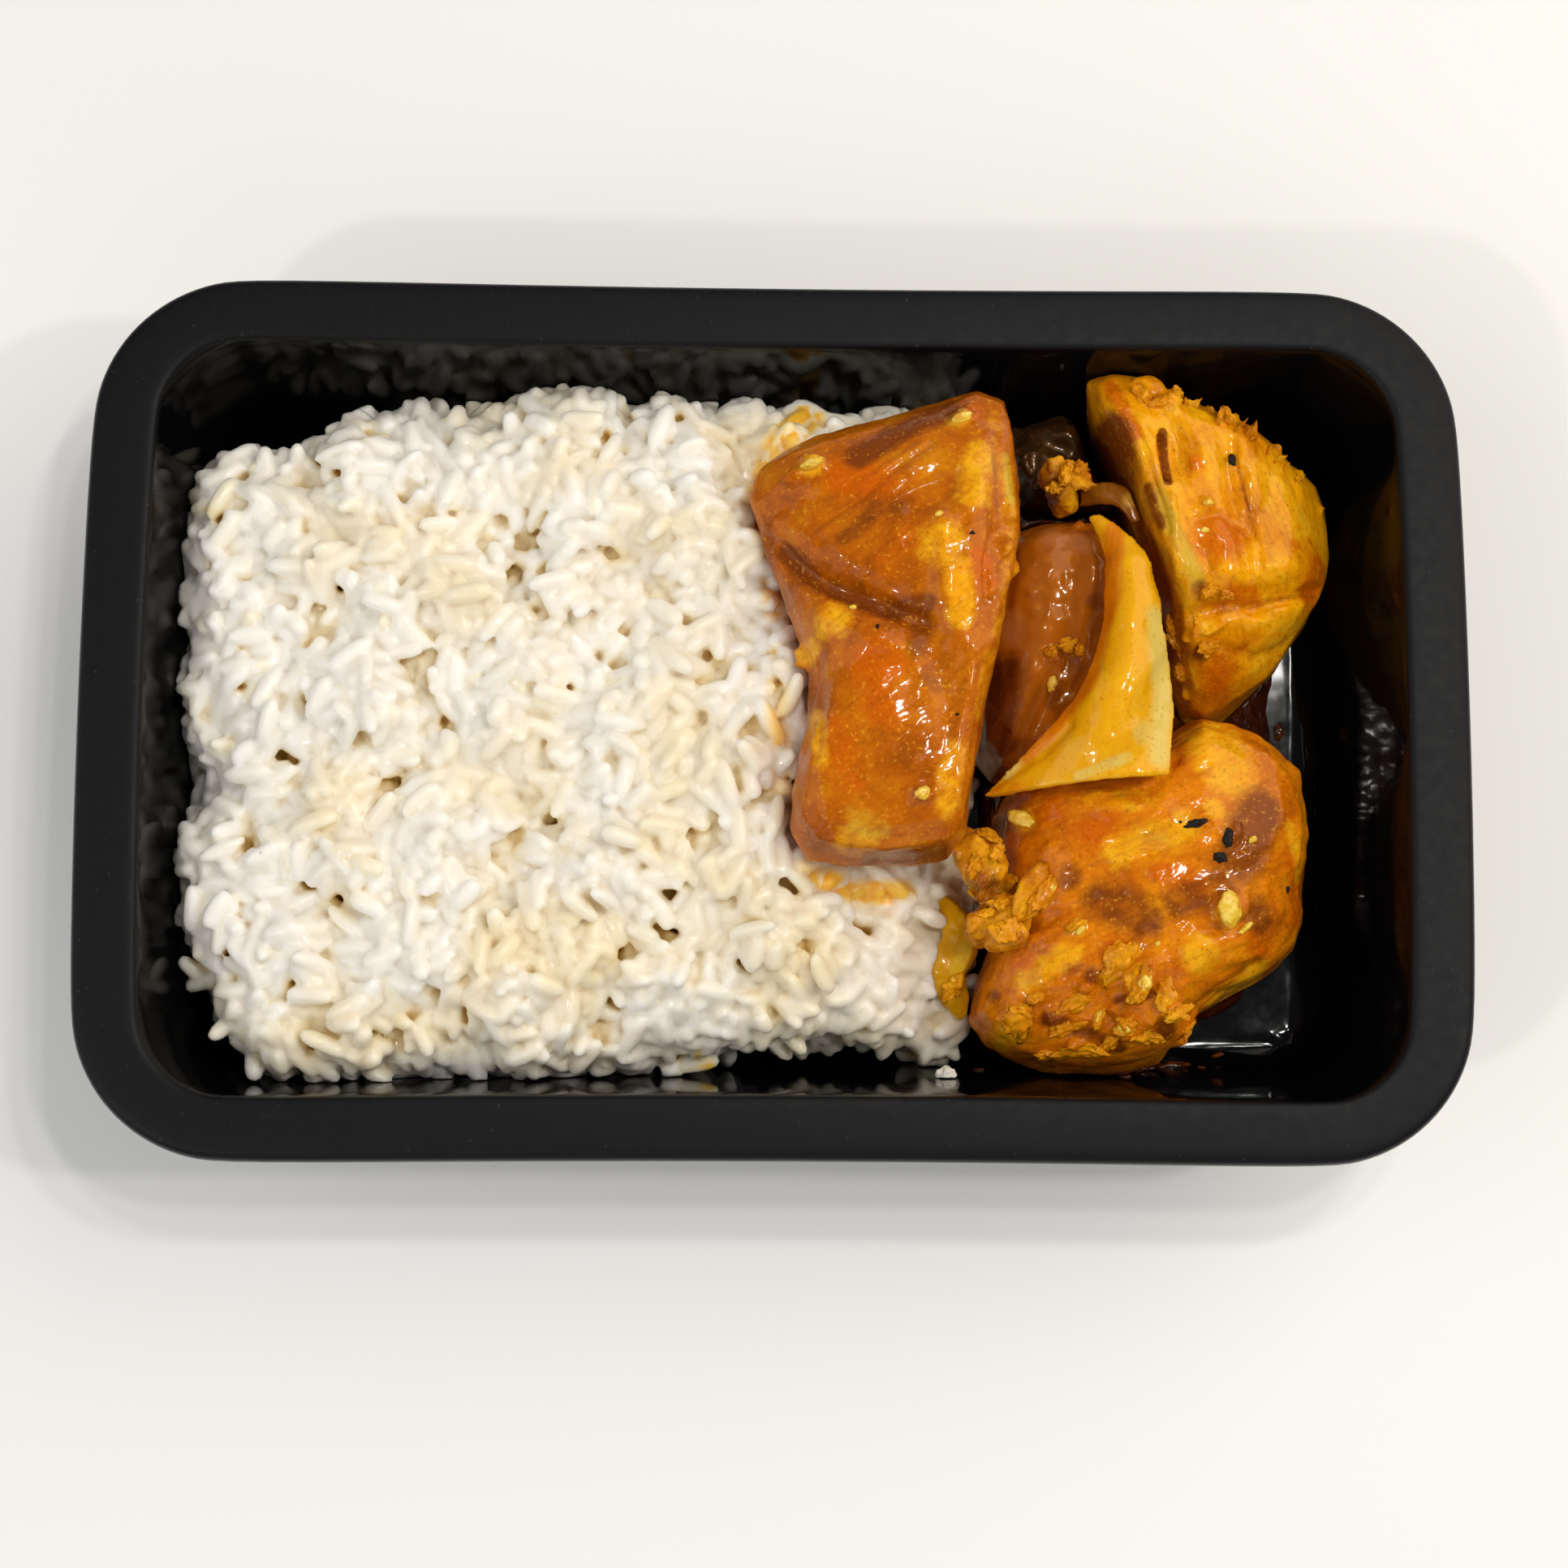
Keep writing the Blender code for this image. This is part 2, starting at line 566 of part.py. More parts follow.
# Bits on the chunks, in millimetres: x, y, size, turn and how finely each is cut.
BITS_LEFT = [
    (24.0, -13.0, (3.0, 2.8, 1.4), (0, 0, 20), 1),
    (2.4, 36.6, (5.0, 2.6, 2.2), (0, 0, 25), 2),
    (35.0, 25.5, (3.4, 2.4, 2.4), (0, 20, 70), 2),
]
BITS_UPPER = [
    (60.0, 55.2, (6.0, 4.0, 3.0), (0, 0, -20), 2),
    (71.5, 50.2, (3.4, 2.0, 1.8), (0, 0, 60), 2),
    (74.0, 42.6, (2.6, 1.5, 1.2), (0, 0, 100), 1),
]
BITS_LOWER = [
    (72.4, -28.6, (4.6, 6.2, 2.2), (0, 0, 15), 2),
    (57.4, -40.8, (5.0, 7.6, 4.4), (20, 10, -15), 2),
    (49.2, -41.8, (4.6, 3.0, 3.0), (0, 0, 30), 1),
    (62.6, -45.0, (4.0, 5.4, 3.2), (0, 20, 20), 1),
    (67.2, -15.2, (3.4, 1.8, 1.2), (0, 0, 12), 1),
    (72.2, -17.8, (2.0, 4.4, 1.2), (0, 0, -20), 1),
]
SHREDS_NEAR = [
    (36.2, -31.5, 27.6, (13.0, 8.0, 8.5), (0, 10, 20)),
    (33.0, -21.6, 27.0, (8.5, 12.5, 7.5), (0, 0, 25)),
    (40.6, -27.0, 31.6, (5.4, 11.0, 4.0), (0, 25, -30)),
    (36.6, -34.4, 31.8, (8.0, 4.4, 3.6), (10, -10, 15)),
]
SHREDS_FAR = [
    (46.4, 38.6, 28.0, (5.0, 7.5, 10.0), (10, 0, 10)),
    (44.4, 40.8, 31.2, (3.4, 3.6, 4.4), (0, 30, 0)),
    (48.4, 41.2, 31.6, (3.4, 3.8, 4.6), (0, -30, 0)),
]


def make_shreds(name, shreds, material):
    """Torn chicken: a few lumps joined into one craggy piece."""
    lumps = [
        make_lump(f"{name}_{index}", place, size, turn, wobble=0.45)
        for index, (*place, size, turn) in enumerate(shreds)
    ]
    first = lumps.pop(0)
    first.name = name
    first.data.materials.append(material)
    apply_boolean(first, "UNION", lumps)
    keep_largest_body(first)
    return first


def make_gravy(material):
    """The thick sauce between the chunks: a low mound that thins out over the tray's floor."""
    form = {
        "centre": (51.0, 8.0), "waist": 2.2, "foot": 1.25, "edge": 22.0, "taper": 0.03, "softness": 2.5,
        "steps": 16, "rings": (4, 1),
        "outline": [
            (36.0, 49.0), (46.0, 52.6), (60.0, 53.0), (78.0, 49.0), (87.0, 38.0), (88.6, 22.0), (84.0, 4.0),
            (86.4, -12.0), (85.6, -32.0), (79.0, -43.0), (66.0, -49.4), (50.0, -51.6), (38.0, -50.4),
            (35.4, -40.0), (35.0, -10.0), (35.2, 20.0),
        ],
        "faces": [(50, 6, 19.0, 0.0, 0.0), (60, 6, 19.0, -0.7, 0.0)],
        "creases": [], "relief": 0.3, "grain": 9.0,
    }
    return make_chunk("curry_gravy", form, material)


def clump_wave(x, y):
    """The lumps that sticky rice breaks into, from about -1 to 1."""
    place = Vector((x, y, 0.0))
    return noise.noise(place / (19 * MM)) + 0.55 * noise.noise(place / (9 * MM))


def rice_height(x, y, inward):
    """The heap's height: highest in its middle, lower at the walls, and sloping away under the chicken."""
    swell = 1 - math.exp(-2.2 * inward / (18 * MM))
    height = RICE_EDGE_HEIGHT + (RICE_CROWN - RICE_EDGE_HEIGHT) * swell + 1.9 * MM * clump_wave(x, y)
    if x > RICE_SLOPE_START:
        share = (x - RICE_SLOPE_START) / (RICE_SLOPE_END - RICE_SLOPE_START)
        height += (8 * MM - height) * min(1.0, share) ** 1.3
    return height


def grain_bumps(places):
    """How far grains on the surface stand out at each place, from grains laid at random."""
    draw = random.Random(SEED)
    cell = GRAIN_LENGTH
    table = {}
    for _ in range(BUMP_GRAINS):
        x = RICE_CENTRE[0] + draw.uniform(-1, 1) * RICE_HALF_LENGTH
        y = RICE_CENTRE[1] + draw.uniform(-1, 1) * RICE_HALF_WIDTH
        angle = draw.uniform(0, math.pi)
        lift = draw.uniform(0.2, 1.0) * GRAIN_WIDTH * 0.6
        grain = (Vector((x, y)), Vector((math.cos(angle), math.sin(angle))), lift)
        table.setdefault((round(x / cell), round(y / cell)), []).append(grain)
    bumps = []
    for place in places:
        column, row = round(place.x / cell), round(place.y / cell)
        best = 0.0
        for i in (-1, 0, 1):
            for j in (-1, 0, 1):
                for middle, along, lift in table.get((column + i, row + j), ()):
                    offset = place - middle
                    reach = max(-0.5, min(0.5, offset.dot(along) / GRAIN_LENGTH)) * GRAIN_LENGTH
                    away = (offset - along * reach).length / (GRAIN_WIDTH * 0.5)
                    if away < 1:
                        best = max(best, lift * math.sqrt(1 - away * away))
        bumps.append(best)
    return bumps


def rice_reaches():
    """The angle and the distance of points round the heap's outline, as seen from its centre."""
    centre = Vector(RICE_CENTRE)
    reaches = []
    for point in closed_outline([Vector(corner) * MM for corner in RICE_OUTLINE], 240):
        away = point - centre
        reaches.append((math.atan2(away.y, away.x), away.length))
    reaches.sort()
    return reaches


def rice_place(share_x, share_y, reaches):
    """Where a point of the square from -1 to 1 lies in the heap's outline."""
    out = max(abs(share_x), abs(share_y))
    angle = math.atan2(share_y * RICE_HALF_WIDTH, share_x * RICE_HALF_LENGTH)
    at = bisect.bisect_left(reaches, (angle, 0.0))
    before, after = reaches[at - 1], reaches[at % len(reaches)]
    span = (after[0] - before[0]) % math.tau
    share = ((angle - before[0]) % math.tau) / span if span else 0.0
    reach = before[1] + (after[1] - before[1]) * min(1.0, share)
    return Vector(RICE_CENTRE) + out * reach * Vector((math.cos(angle), math.sin(angle)))


def make_rice_core():
    """The heap as one body: a bumpy top over a grid, sides that lean in, and a flat foot."""
    columns = round(2 * RICE_HALF_LENGTH / RICE_STEP)
    rows = round(2 * RICE_HALF_WIDTH / RICE_STEP)
    reaches = rice_reaches()
    places, depths = [], []
    for row in range(rows + 1):
        for column in range(columns + 1):
            share_x, share_y = 2 * column / columns - 1, 2 * row / rows - 1
            places.append(rice_place(share_x, share_y, reaches))
            depths.append((1 - max(abs(share_x), abs(share_y))) * RICE_HALF_WIDTH)
    shape = bmesh.new()
    verts = [
        shape.verts.new((place.x, place.y, rice_height(place.x, place.y, depth) + bump))
        for place, depth, bump in zip(places, depths, grain_bumps(places))
    ]
    width = columns + 1
    for row in range(rows):
        for column in range(columns):
            a = row * width + column
            if (row + column) % 2:
                shape.faces.new((verts[a], verts[a + 1], verts[a + width + 1]))
                shape.faces.new((verts[a], verts[a + width + 1], verts[a + width]))
            else:
                shape.faces.new((verts[a], verts[a + 1], verts[a + width]))
                shape.faces.new((verts[a + 1], verts[a + width + 1], verts[a + width]))
    border = [column for column in range(width)]
    border += [row * width + columns for row in range(1, rows + 1)]
    border += [rows * width + column for column in range(columns - 1, -1, -1)]
    border += [row * width for row in range(rows - 1, 0, -1)]
    upper = [verts[index] for index in border]
    for share, inward in ((0.55, 0.015), (1.0, 0.07)):
        lower = []
        for index, corner in enumerate(border):
            top = verts[corner].co
            height = top.z + (FOOD_FLOOR - top.z) * share
            keep = 1 - inward + (0.014 * noise.noise(Vector((index * 0.7, 0, 0))) if share < 1 else 0)
            x = RICE_CENTRE[0] + (top.x - RICE_CENTRE[0]) * keep
            y = RICE_CENTRE[1] + (top.y - RICE_CENTRE[1]) * keep
            lower.append(shape.verts.new((x, y, height)))
        for i in range(len(upper)):
            j = (i + 1) % len(upper)
            shape.faces.new((upper[i], lower[i], lower[j], upper[j]))
        upper = lower
    shape.faces.new(upper)
    return object_from_bmesh("rice", shape)


def make_loose_grains(core):
    """Whole grains that stand out of the heap, spread evenly over it and round its edge."""
    draw = random.Random(SEED + 1)
    reaches = rice_reaches()
    grains = []
    golden = math.pi * (3 - math.sqrt(5))
    for index in range(FUSED_GRAINS):
        reach = 0.975 if index % 3 == 0 else 0.95 * math.sqrt((index + 0.5) / FUSED_GRAINS)
        place = rice_place(*square_point(index * golden, reach), reaches)
        if place.x > RICE_SLOPE_START and abs(place.y) < 40 * MM:
            continue
        hit, foot, _normal, _face = core.ray_cast(Vector((*place, 0.2)), Vector((0, 0, -1)))
        if not hit:
            continue
        grains.append(make_grain(f"grain_{index}", foot, draw))
    return grains


def make_grain(name, foot, draw):
    """A plump grain that lies aslant on the heap."""
    shape = bmesh.new()
    bmesh.ops.create_uvsphere(shape, u_segments=5, v_segments=3, radius=0.5)
    turn = Euler((0, math.pi / 2 + draw.uniform(-0.35, 0.35), draw.uniform(0, math.tau))).to_matrix()
    for vert in shape.verts:
        sized = Vector((vert.co.x * GRAIN_WIDTH, vert.co.y * GRAIN_WIDTH, vert.co.z * GRAIN_LENGTH))
        vert.co = foot + turn @ (sized * 1.12) + Vector((0, 0, 0.28 * GRAIN_WIDTH))
    return object_from_bmesh(name, shape)


def square_point(angle, reach):
    """A point at this angle whose larger coordinate is the reach."""
    x, y = math.cos(angle), math.sin(angle)
    larger = max(abs(x), abs(y))
    return x / larger * reach, y / larger * reach


def make_rice(material, cutters):
    rice = make_rice_core()
    apply_boolean(rice, "UNION", make_loose_grains(rice), solver="MANIFOLD")
    apply_boolean(rice, "INTERSECT", [make_cavity()], solver="MANIFOLD")
    apply_boolean(rice, "DIFFERENCE", cutters, solver="MANIFOLD")
    keep_largest_body(rice)
    rice.data.materials.clear()
    rice.data.materials.append(material)
    return rice


def grown_copy(thing):
    """A cutter of the same shape as a piece, larger by the clearance all round."""
    shape = bmesh.new()
    shape.from_mesh(thing.data)
    shape.normal_update()
    moves = [vert.normal * CUT_CLEARANCE for vert in shape.verts]
    for vert, move in zip(shape.verts, moves):
        vert.co += move
    return object_from_bmesh(thing.name + "_cutter", shape)


def cut_clear(thing, neighbours):
    """Takes away what would touch the neighbours, and leaves the clearance."""
    apply_boolean(thing, "DIFFERENCE", [grown_copy(other) for other in neighbours], solver="MANIFOLD")
    keep_largest_body(thing)


def main():
    clear_scene()
    plastic = finish_material("black_plastic", BLACK_PLASTIC)
    rice_finish = finish_material("boiled_rice", BOILED_RICE)
    chicken = finish_material("curried_chicken", CURRIED_CHICKEN)
    onion = finish_material("stewed_onion", STEWED_ONION)
    sauce = finish_material("curry_gravy", CURRY_GRAVY)

    make_tray(plastic)
    left = make_chunk("chicken_left", CHICKEN_LEFT, chicken)
    upper = make_chunk("chicken_upper", CHICKEN_UPPER, chicken)
    lower = make_chunk("chicken_lower", CHICKEN_LOWER, chicken)
    fuse_bits(left, BITS_LEFT)
    fuse_bits(upper, BITS_UPPER)
    fuse_bits(lower, BITS_LOWER)
    for chunk in (upper, lower):
        apply_boolean(chunk, "INTERSECT", [make_cavity()])
    cut_clear(lower, [upper])
    petal = make_onion_petal(onion)
    heart = make_chunk("onion_heart", ONION_HEART, onion)
    cut_clear(heart, [left, upper, petal, lower])
    back = make_chunk("onion_back", ONION_BACK, onion)
    apply_boolean(back, "INTERSECT", [make_cavity()])
    cut_clear(back, [left, upper, heart])
    near_shreds = make_shreds("chicken_shreds_near", SHREDS_NEAR, chicken)
    cut_clear(near_shreds, [left, lower])
    far_shreds = make_shreds("chicken_shreds_far", SHREDS_FAR, chicken)
    cut_clear(far_shreds, [left, upper, heart, back])
    curl = make_strip(
        "onion_curl",
        [(27.0, -27.0, 17.0), (30.4, -33.0, 18.6), (28.2, -39.0, 17.4), (31.4, -45.5, 13.4)],
        7.0, 3.6, 40, onion)
    strip = make_strip(
        "onion_strip",
        [(48.5, 37.5, 27.0), (52.5, 38.6, 29.4), (56.0, 37.4, 31.0), (58.2, 33.4, 31.4)],
        4.0, 2.2, 30, onion)
    cut_clear(strip, [upper, heart, far_shreds])
    cut_clear(curl, [near_shreds, lower])
    gravy = make_gravy(sauce)
    apply_boolean(gravy, "INTERSECT", [make_cavity()])
    cut_clear(gravy, [upper, lower, heart, back, near_shreds, far_shreds, strip])
    rice_neighbours = [grown_copy(other) for other in (left, lower, heart, back, near_shreds, curl, gravy)]
    make_rice(rice_finish, rice_neighbours)


main()
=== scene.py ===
"""The looks of a boiled rice and chicken curry meal in a black plastic tray.

Everything is in metres and in the frame of the solids: the origin is under the middle of the tray, +X runs
towards the curry, +Y towards the far long side, +Z up. Lists of places are in millimetres.
"""

import json
import math
import random

import bmesh
import bpy
import numpy as np
from mathutils import Euler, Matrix, Quaternion, Vector, noise
from mathutils.bvhtree import BVHTree
from mathutils.kdtree import KDTree

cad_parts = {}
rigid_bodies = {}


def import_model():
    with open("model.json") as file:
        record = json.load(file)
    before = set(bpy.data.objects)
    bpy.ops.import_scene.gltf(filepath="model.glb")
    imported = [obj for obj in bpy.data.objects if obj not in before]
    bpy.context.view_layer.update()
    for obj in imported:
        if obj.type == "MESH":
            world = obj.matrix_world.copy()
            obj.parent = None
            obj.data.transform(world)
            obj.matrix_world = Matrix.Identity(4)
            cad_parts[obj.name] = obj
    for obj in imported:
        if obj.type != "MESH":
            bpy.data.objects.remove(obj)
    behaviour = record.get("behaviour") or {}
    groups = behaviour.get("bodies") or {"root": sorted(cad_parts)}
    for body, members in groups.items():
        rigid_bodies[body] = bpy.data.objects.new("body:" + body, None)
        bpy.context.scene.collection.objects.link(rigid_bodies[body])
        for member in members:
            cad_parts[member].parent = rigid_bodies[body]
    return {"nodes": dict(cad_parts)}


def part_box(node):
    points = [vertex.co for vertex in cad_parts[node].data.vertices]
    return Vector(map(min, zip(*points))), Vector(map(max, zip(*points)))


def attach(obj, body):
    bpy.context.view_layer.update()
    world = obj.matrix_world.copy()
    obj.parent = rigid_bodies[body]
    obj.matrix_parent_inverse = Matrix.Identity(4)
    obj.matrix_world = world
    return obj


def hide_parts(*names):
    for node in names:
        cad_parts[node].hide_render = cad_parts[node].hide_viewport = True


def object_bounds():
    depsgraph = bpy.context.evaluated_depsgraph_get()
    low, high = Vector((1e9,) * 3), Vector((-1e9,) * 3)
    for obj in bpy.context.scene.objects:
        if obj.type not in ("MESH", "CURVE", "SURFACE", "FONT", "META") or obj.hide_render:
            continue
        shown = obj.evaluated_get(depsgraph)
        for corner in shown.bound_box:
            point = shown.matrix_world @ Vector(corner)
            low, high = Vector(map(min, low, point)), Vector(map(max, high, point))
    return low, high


MM = 0.001

# The camera's place and turn, fitted to the tray's outline in the photograph.
CAMERA_PLACE = (-0.010467, -0.074255, 0.484345)
CAMERA_TURN = (8.08, -1.50, 0.22)
CAMERA_LENS = 65.94
SENSOR_WIDTH = 36.0

# The food rests on the tray's floor at this height, and clears its walls by this gap.
FOOD_FLOOR = 1.3 * MM
WALL_GAP = 0.2 * MM
TRAY_HEIGHT = 40 * MM

# How far under the model's top a piece that is too high begins to be pressed down.
SOFT_TOP = 6 * MM

# A cooked grain of rice, and how far it bends at most.
GRAIN_LENGTH = 7.8 * MM
GRAIN_WIDTH = 3.15 * MM
GRAIN_HEIGHT = 2.8 * MM
GRAIN_BEND = 0.35 * MM

# How the rice is heaped: grains are laid on a core up to a level, both of them height maps with cells this wide.
HEAP_CELL = 0.5 * MM

# The level is nowhere higher than this, the core lies so far under it, and each grain sinks so far into the rest.
HEAP_TOP = 39.4 * MM
CORE_DEPTH = 3.0 * MM
GRAIN_SINK = 0.5 * MM

# A place is full with less room than this, and the heap once so many places in turn were found full.
LEAST_ROOM = 0.8 * MM
MOST_MISSES = 300

# How many grains fill the top, lie loose on it, and cling to the sides.
TOP_GRAINS = 2000
LOOSE_GRAINS = 430
SIDE_GRAINS = 1200

# How wide the sticky clumps are, and the patches in which the grains lie alike.
CLUMP_SIZE = 14 * MM
LIE_SIZE = 26 * MM

# The skin over the grains: its cell, how far a place looks round for what shuts it in, and its most triangles.
GRAIN_SKIN = 0.42 * MM
HOLLOW_REACH = 6 * MM
MOST_RICE_TRIANGLES = 195000

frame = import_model()
CAD_LOW, CAD_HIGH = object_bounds()


# ---- work on any piece -----------------------------------------------------------------------------------


def deselect():
    """Leaves edit mode and lets go of everything."""
    if bpy.context.object and bpy.context.object.mode != "OBJECT":
        bpy.ops.object.mode_set(mode="OBJECT")
    for thing in bpy.context.scene.objects:
        thing.select_set(False)


def take(piece):
    """Selects one piece and makes it the active one."""
    deselect()
    piece.select_set(True)
    bpy.context.view_layer.objects.active = piece


def finish_with(piece, kind, **settings):
    """Adds a modifier to a piece and applies it."""
    take(piece)
    modifier = piece.modifiers.new(kind.title(), kind)
    for name, value in settings.items():
        setattr(modifier, name, value)
    bpy.ops.object.modifier_apply(modifier=modifier.name)


def join(parts):
    """Joins pieces into the first of them."""
    deselect()
    for part in parts:
        part.select_set(True)
    bpy.context.view_layer.objects.active = parts[0]
    if len(parts) > 1:
        bpy.ops.object.join()
    return parts[0]


def copy_of(node, name):
    """A new piece with the mesh of a solid, its loose triangles merged."""
    mesh = frame["nodes"][node].data.copy()
    piece = bpy.data.objects.new(name, mesh)
    bpy.context.scene.collection.objects.link(piece)
    mesh.materials.clear()
    for layer in list(mesh.attributes):
        if layer.name.startswith("COLOR") or layer.name == "custom_normal":
            mesh.attributes.remove(layer)
    take(piece)
    bpy.ops.object.mode_set(mode="EDIT")
    bpy.ops.mesh.select_all(action="SELECT")
    bpy.ops.mesh.remove_doubles(threshold=0.01 * MM)
    bpy.ops.object.mode_set(mode="OBJECT")
    return piece


def vertex_places(piece):
    places = np.empty(len(piece.data.vertices) * 3)
    piece.data.vertices.foreach_get("co", places)
    return places.reshape(-1, 3)


def vertex_normals(piece):
    normals = np.empty(len(piece.data.vertices) * 3)
    piece.data.vertex_normals.foreach_get("vector", normals)
    return normals.reshape(-1, 3)


def move_vertices(piece, places):
    piece.data.vertices.foreach_set("co", places.ravel())
    piece.data.update()


def mark(piece, name, values):
    """Keeps a number for each vertex, in a layer that the materials read."""
    layer = piece.data.attributes.new(name, "FLOAT", "POINT")
    layer.data.foreach_set("value", np.asarray(values, dtype=float))


def surface_of(piece):
    """A piece's faces as a tree, for rays and nearest places."""
    mesh = piece.data
    return BVHTree.FromPolygons([v.co for v in mesh.vertices], [p.vertices for p in mesh.polygons])


def place_on(surface, x, y, height):
    """The place and normal of a surface straight under x and y in millimetres, or else nearest to a height."""
    found = surface.ray_cast(Vector((x * MM, y * MM, 0.1)), Vector((0, 0, -1)))
    if found[0] is None:
        found = surface.find_nearest(Vector((x * MM, y * MM, height)))
    return found[:2]


def ripple(piece, size, strength, stretch=(1, 1, 1), turn=0.0, place=(0, 0, 0)):
    """Pushes a surface in and out by a soft noise, which can be stretched along one direction as fibres are."""
    texture = bpy.data.textures.new(piece.name + "_ripple", "CLOUDS")
    texture.noise_scale = 1.0
    texture.noise_depth = 2
    guide = bpy.data.objects.new("guide", None)
    bpy.context.scene.collection.objects.link(guide)
    guide.scale = [size * share for share in stretch]
    guide.rotation_euler.z = math.radians(turn)
    guide.location = place
    bpy.context.view_layer.update()
    finish_with(piece, "DISPLACE", texture=texture, texture_coords="OBJECT",
                texture_coords_object=guide, strength=strength, mid_level=0.5)
    bpy.data.objects.remove(guide, do_unlink=True)


def distance_to_route(places, route):
    """How far each place is from a route of straight runs, seen from above."""
    nearest = np.full(len(places), 1e9)
    for start, end in zip(route, route[1:]):
        start, end = np.array(start) * MM, np.array(end) * MM
        along = end - start
        share = np.clip((places[:, :2] - start) @ along / max(along @ along, 1e-12), 0, 1)
        gap = np.linalg.norm(places[:, :2] - start - share[:, None] * along, axis=1)
        nearest = np.minimum(nearest, gap)
    return nearest


def press_routes(piece, routes):
    """Presses grooves into a piece's top, or raises ridges, along routes with a depth and a width."""
    places, normals = vertex_places(piece), vertex_normals(piece)
    depth = np.zeros(len(places))
    for route, deep, wide in routes:
        gap = distance_to_route(places, route)
        near = gap < 3 * wide * MM
        wander = np.array([noise.noise(Vector(place) / (4 * MM)) for place in places[near]])
        gap[near] += wander * 0.35 * wide * MM
        depth += deep * MM * np.exp(-((gap / (wide * MM)) ** 2))
    facing = np.clip(normals[:, 2] * 2.5, 0, 1)
    move_vertices(piece, places - normals * (depth * facing)[:, None])


def paint(piece, name, strokes):
    """Marks places on a piece as with a soft brush: each stroke is a route, its half width and its strength."""
    places = vertex_places(piece)
    value = np.zeros(len(places))
    for route, radius, strength in strokes:
        gap = distance_to_route(places, route if len(route) > 1 else route * 2)
        value = np.maximum(value, strength * np.clip(1.5 - gap / (radius * MM), 0, 1))
    mark(piece, name, value)


def add_lumps(piece, lumps, draw):
    """Sets small torn lumps on a piece: x, y, radius, length share, turn, and how far it stands out."""
    surface = surface_of(piece)
    parts = [piece]
    for x, y, radius, long, turn, stand in lumps:
        place, _normal = place_on(surface, x, y, 25 * MM)
        deselect()
        bpy.ops.mesh.primitive_ico_sphere_add(
            subdivisions=3, radius=radius * MM, location=place + Vector((0, 0, (stand - 0.5) * radius * MM)),
            rotation=(draw.uniform(-0.5, 0.5), draw.uniform(-0.5, 0.5), math.radians(turn)), scale=(long, 1.0, 0.75))
        lump = bpy.context.object
        bpy.ops.object.transform_apply(location=True, rotation=True, scale=True)
        places, normals = vertex_places(lump), vertex_normals(lump)
        seed = Vector((draw.uniform(0, 99), 0, 0))
        push = [noise.noise(Vector(one) / (0.75 * radius * MM) + seed)
                + 0.5 * noise.noise(Vector(one) / (0.33 * radius * MM) + seed) for one in places]
        move_vertices(lump, places + normals * (np.array(push) * 0.8 * radius * MM)[:, None])
        parts.append(lump)
    join(parts)


def keep_in_tray(piece):
    """Draws back what would stand in the tray's floor or wall."""
    tray = surface_of(bpy.data.objects["tray_piece"])
    places = vertex_places(piece)
    places[:, 2] = np.maximum(places[:, 2], FOOD_FLOOR)
    for place in places:
        reach = math.hypot(place[0], place[1])
        if place[2] < TRAY_HEIGHT and reach > 40 * MM:
            wall = tray.ray_cast(Vector((0, 0, place[2])), Vector((place[0], place[1], 0)), reach + WALL_GAP)[3]
            if wall is not None:
                place[:2] *= (wall - WALL_GAP) / reach
    move_vertices(piece, places)


def wear(piece, material, slot, *nodes):
    """Gives a finished piece its material and its body, and hides the solids that it stands for.

    A piece that is too high is softly pressed down first, and none leaves the solids' box.
    """
    places = vertex_places(piece)
    top, knee = places[:, 2].max(), CAD_HIGH[2] - SOFT_TOP
    if top > CAD_HIGH[2]:
        over = np.maximum(places[:, 2] - knee, 0)
        places[:, 2] -= over * (1 - (CAD_HIGH[2] - knee) / (top - knee))
    move_vertices(piece, np.clip(places, CAD_LOW, CAD_HIGH))
    piece.data.materials.clear()
    piece.data.materials.append(material)
    piece.data.shade_smooth()
    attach(piece, "root")
    if nodes:
        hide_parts(*nodes)


# ---- materials -------------------------------------------------------------------------------------------


# Blender's names for the kinds of node used here.
NOISE, SPAN, MIX, RAMP = "ShaderNodeTexNoise", "ShaderNodeMapRange", "ShaderNodeMix", "ShaderNodeValToRGB"
BUMP, MATH, LAYER = "ShaderNodeBump", "ShaderNodeMath", "ShaderNodeAttribute"
PLACE, MAPPING = "ShaderNodeTexCoord", "ShaderNodeMapping"


def linear(code):
    """A colour written as sRGB hex, as linear values with full alpha."""
    parts = [int(code[i:i + 2], 16) / 255 for i in (1, 3, 5)]
    return (*(part / 12.92 if part <= 0.04045 else ((part + 0.055) / 1.055) ** 2.4 for part in parts), 1.0)


def new_material(name):
    material = bpy.data.materials.new(name)
    material.use_nodes = True
    tree = material.node_tree
    return material, tree, tree.nodes["Principled BSDF"]


def add(tree, kind, output, inputs, stops=(), **settings):
    """Adds a node with its settings and links, and gives one of its outputs.

    An input takes a number, a hex colour or another node's output. Stops are a colour ramp's places and hex colours.
    """
    made = tree.nodes.new(kind)
    for name, value in settings.items():
        setattr(made, name, value)
    for name, value in inputs.items():
        if isinstance(value, bpy.types.NodeSocket):
            tree.links.new(value, made.inputs[name])
        else:
            made.inputs[name].default_value = linear(value) if isinstance(value, str) else value
    if stops:
        made.color_ramp.elements.remove(made.color_ramp.elements[1])
    for index, (place, code) in enumerate(stops):
        stop = made.color_ramp.elements.new(place) if index else made.color_ramp.elements[0]
        stop.position, stop.color = place, linear(code)
    return made.outputs[output]


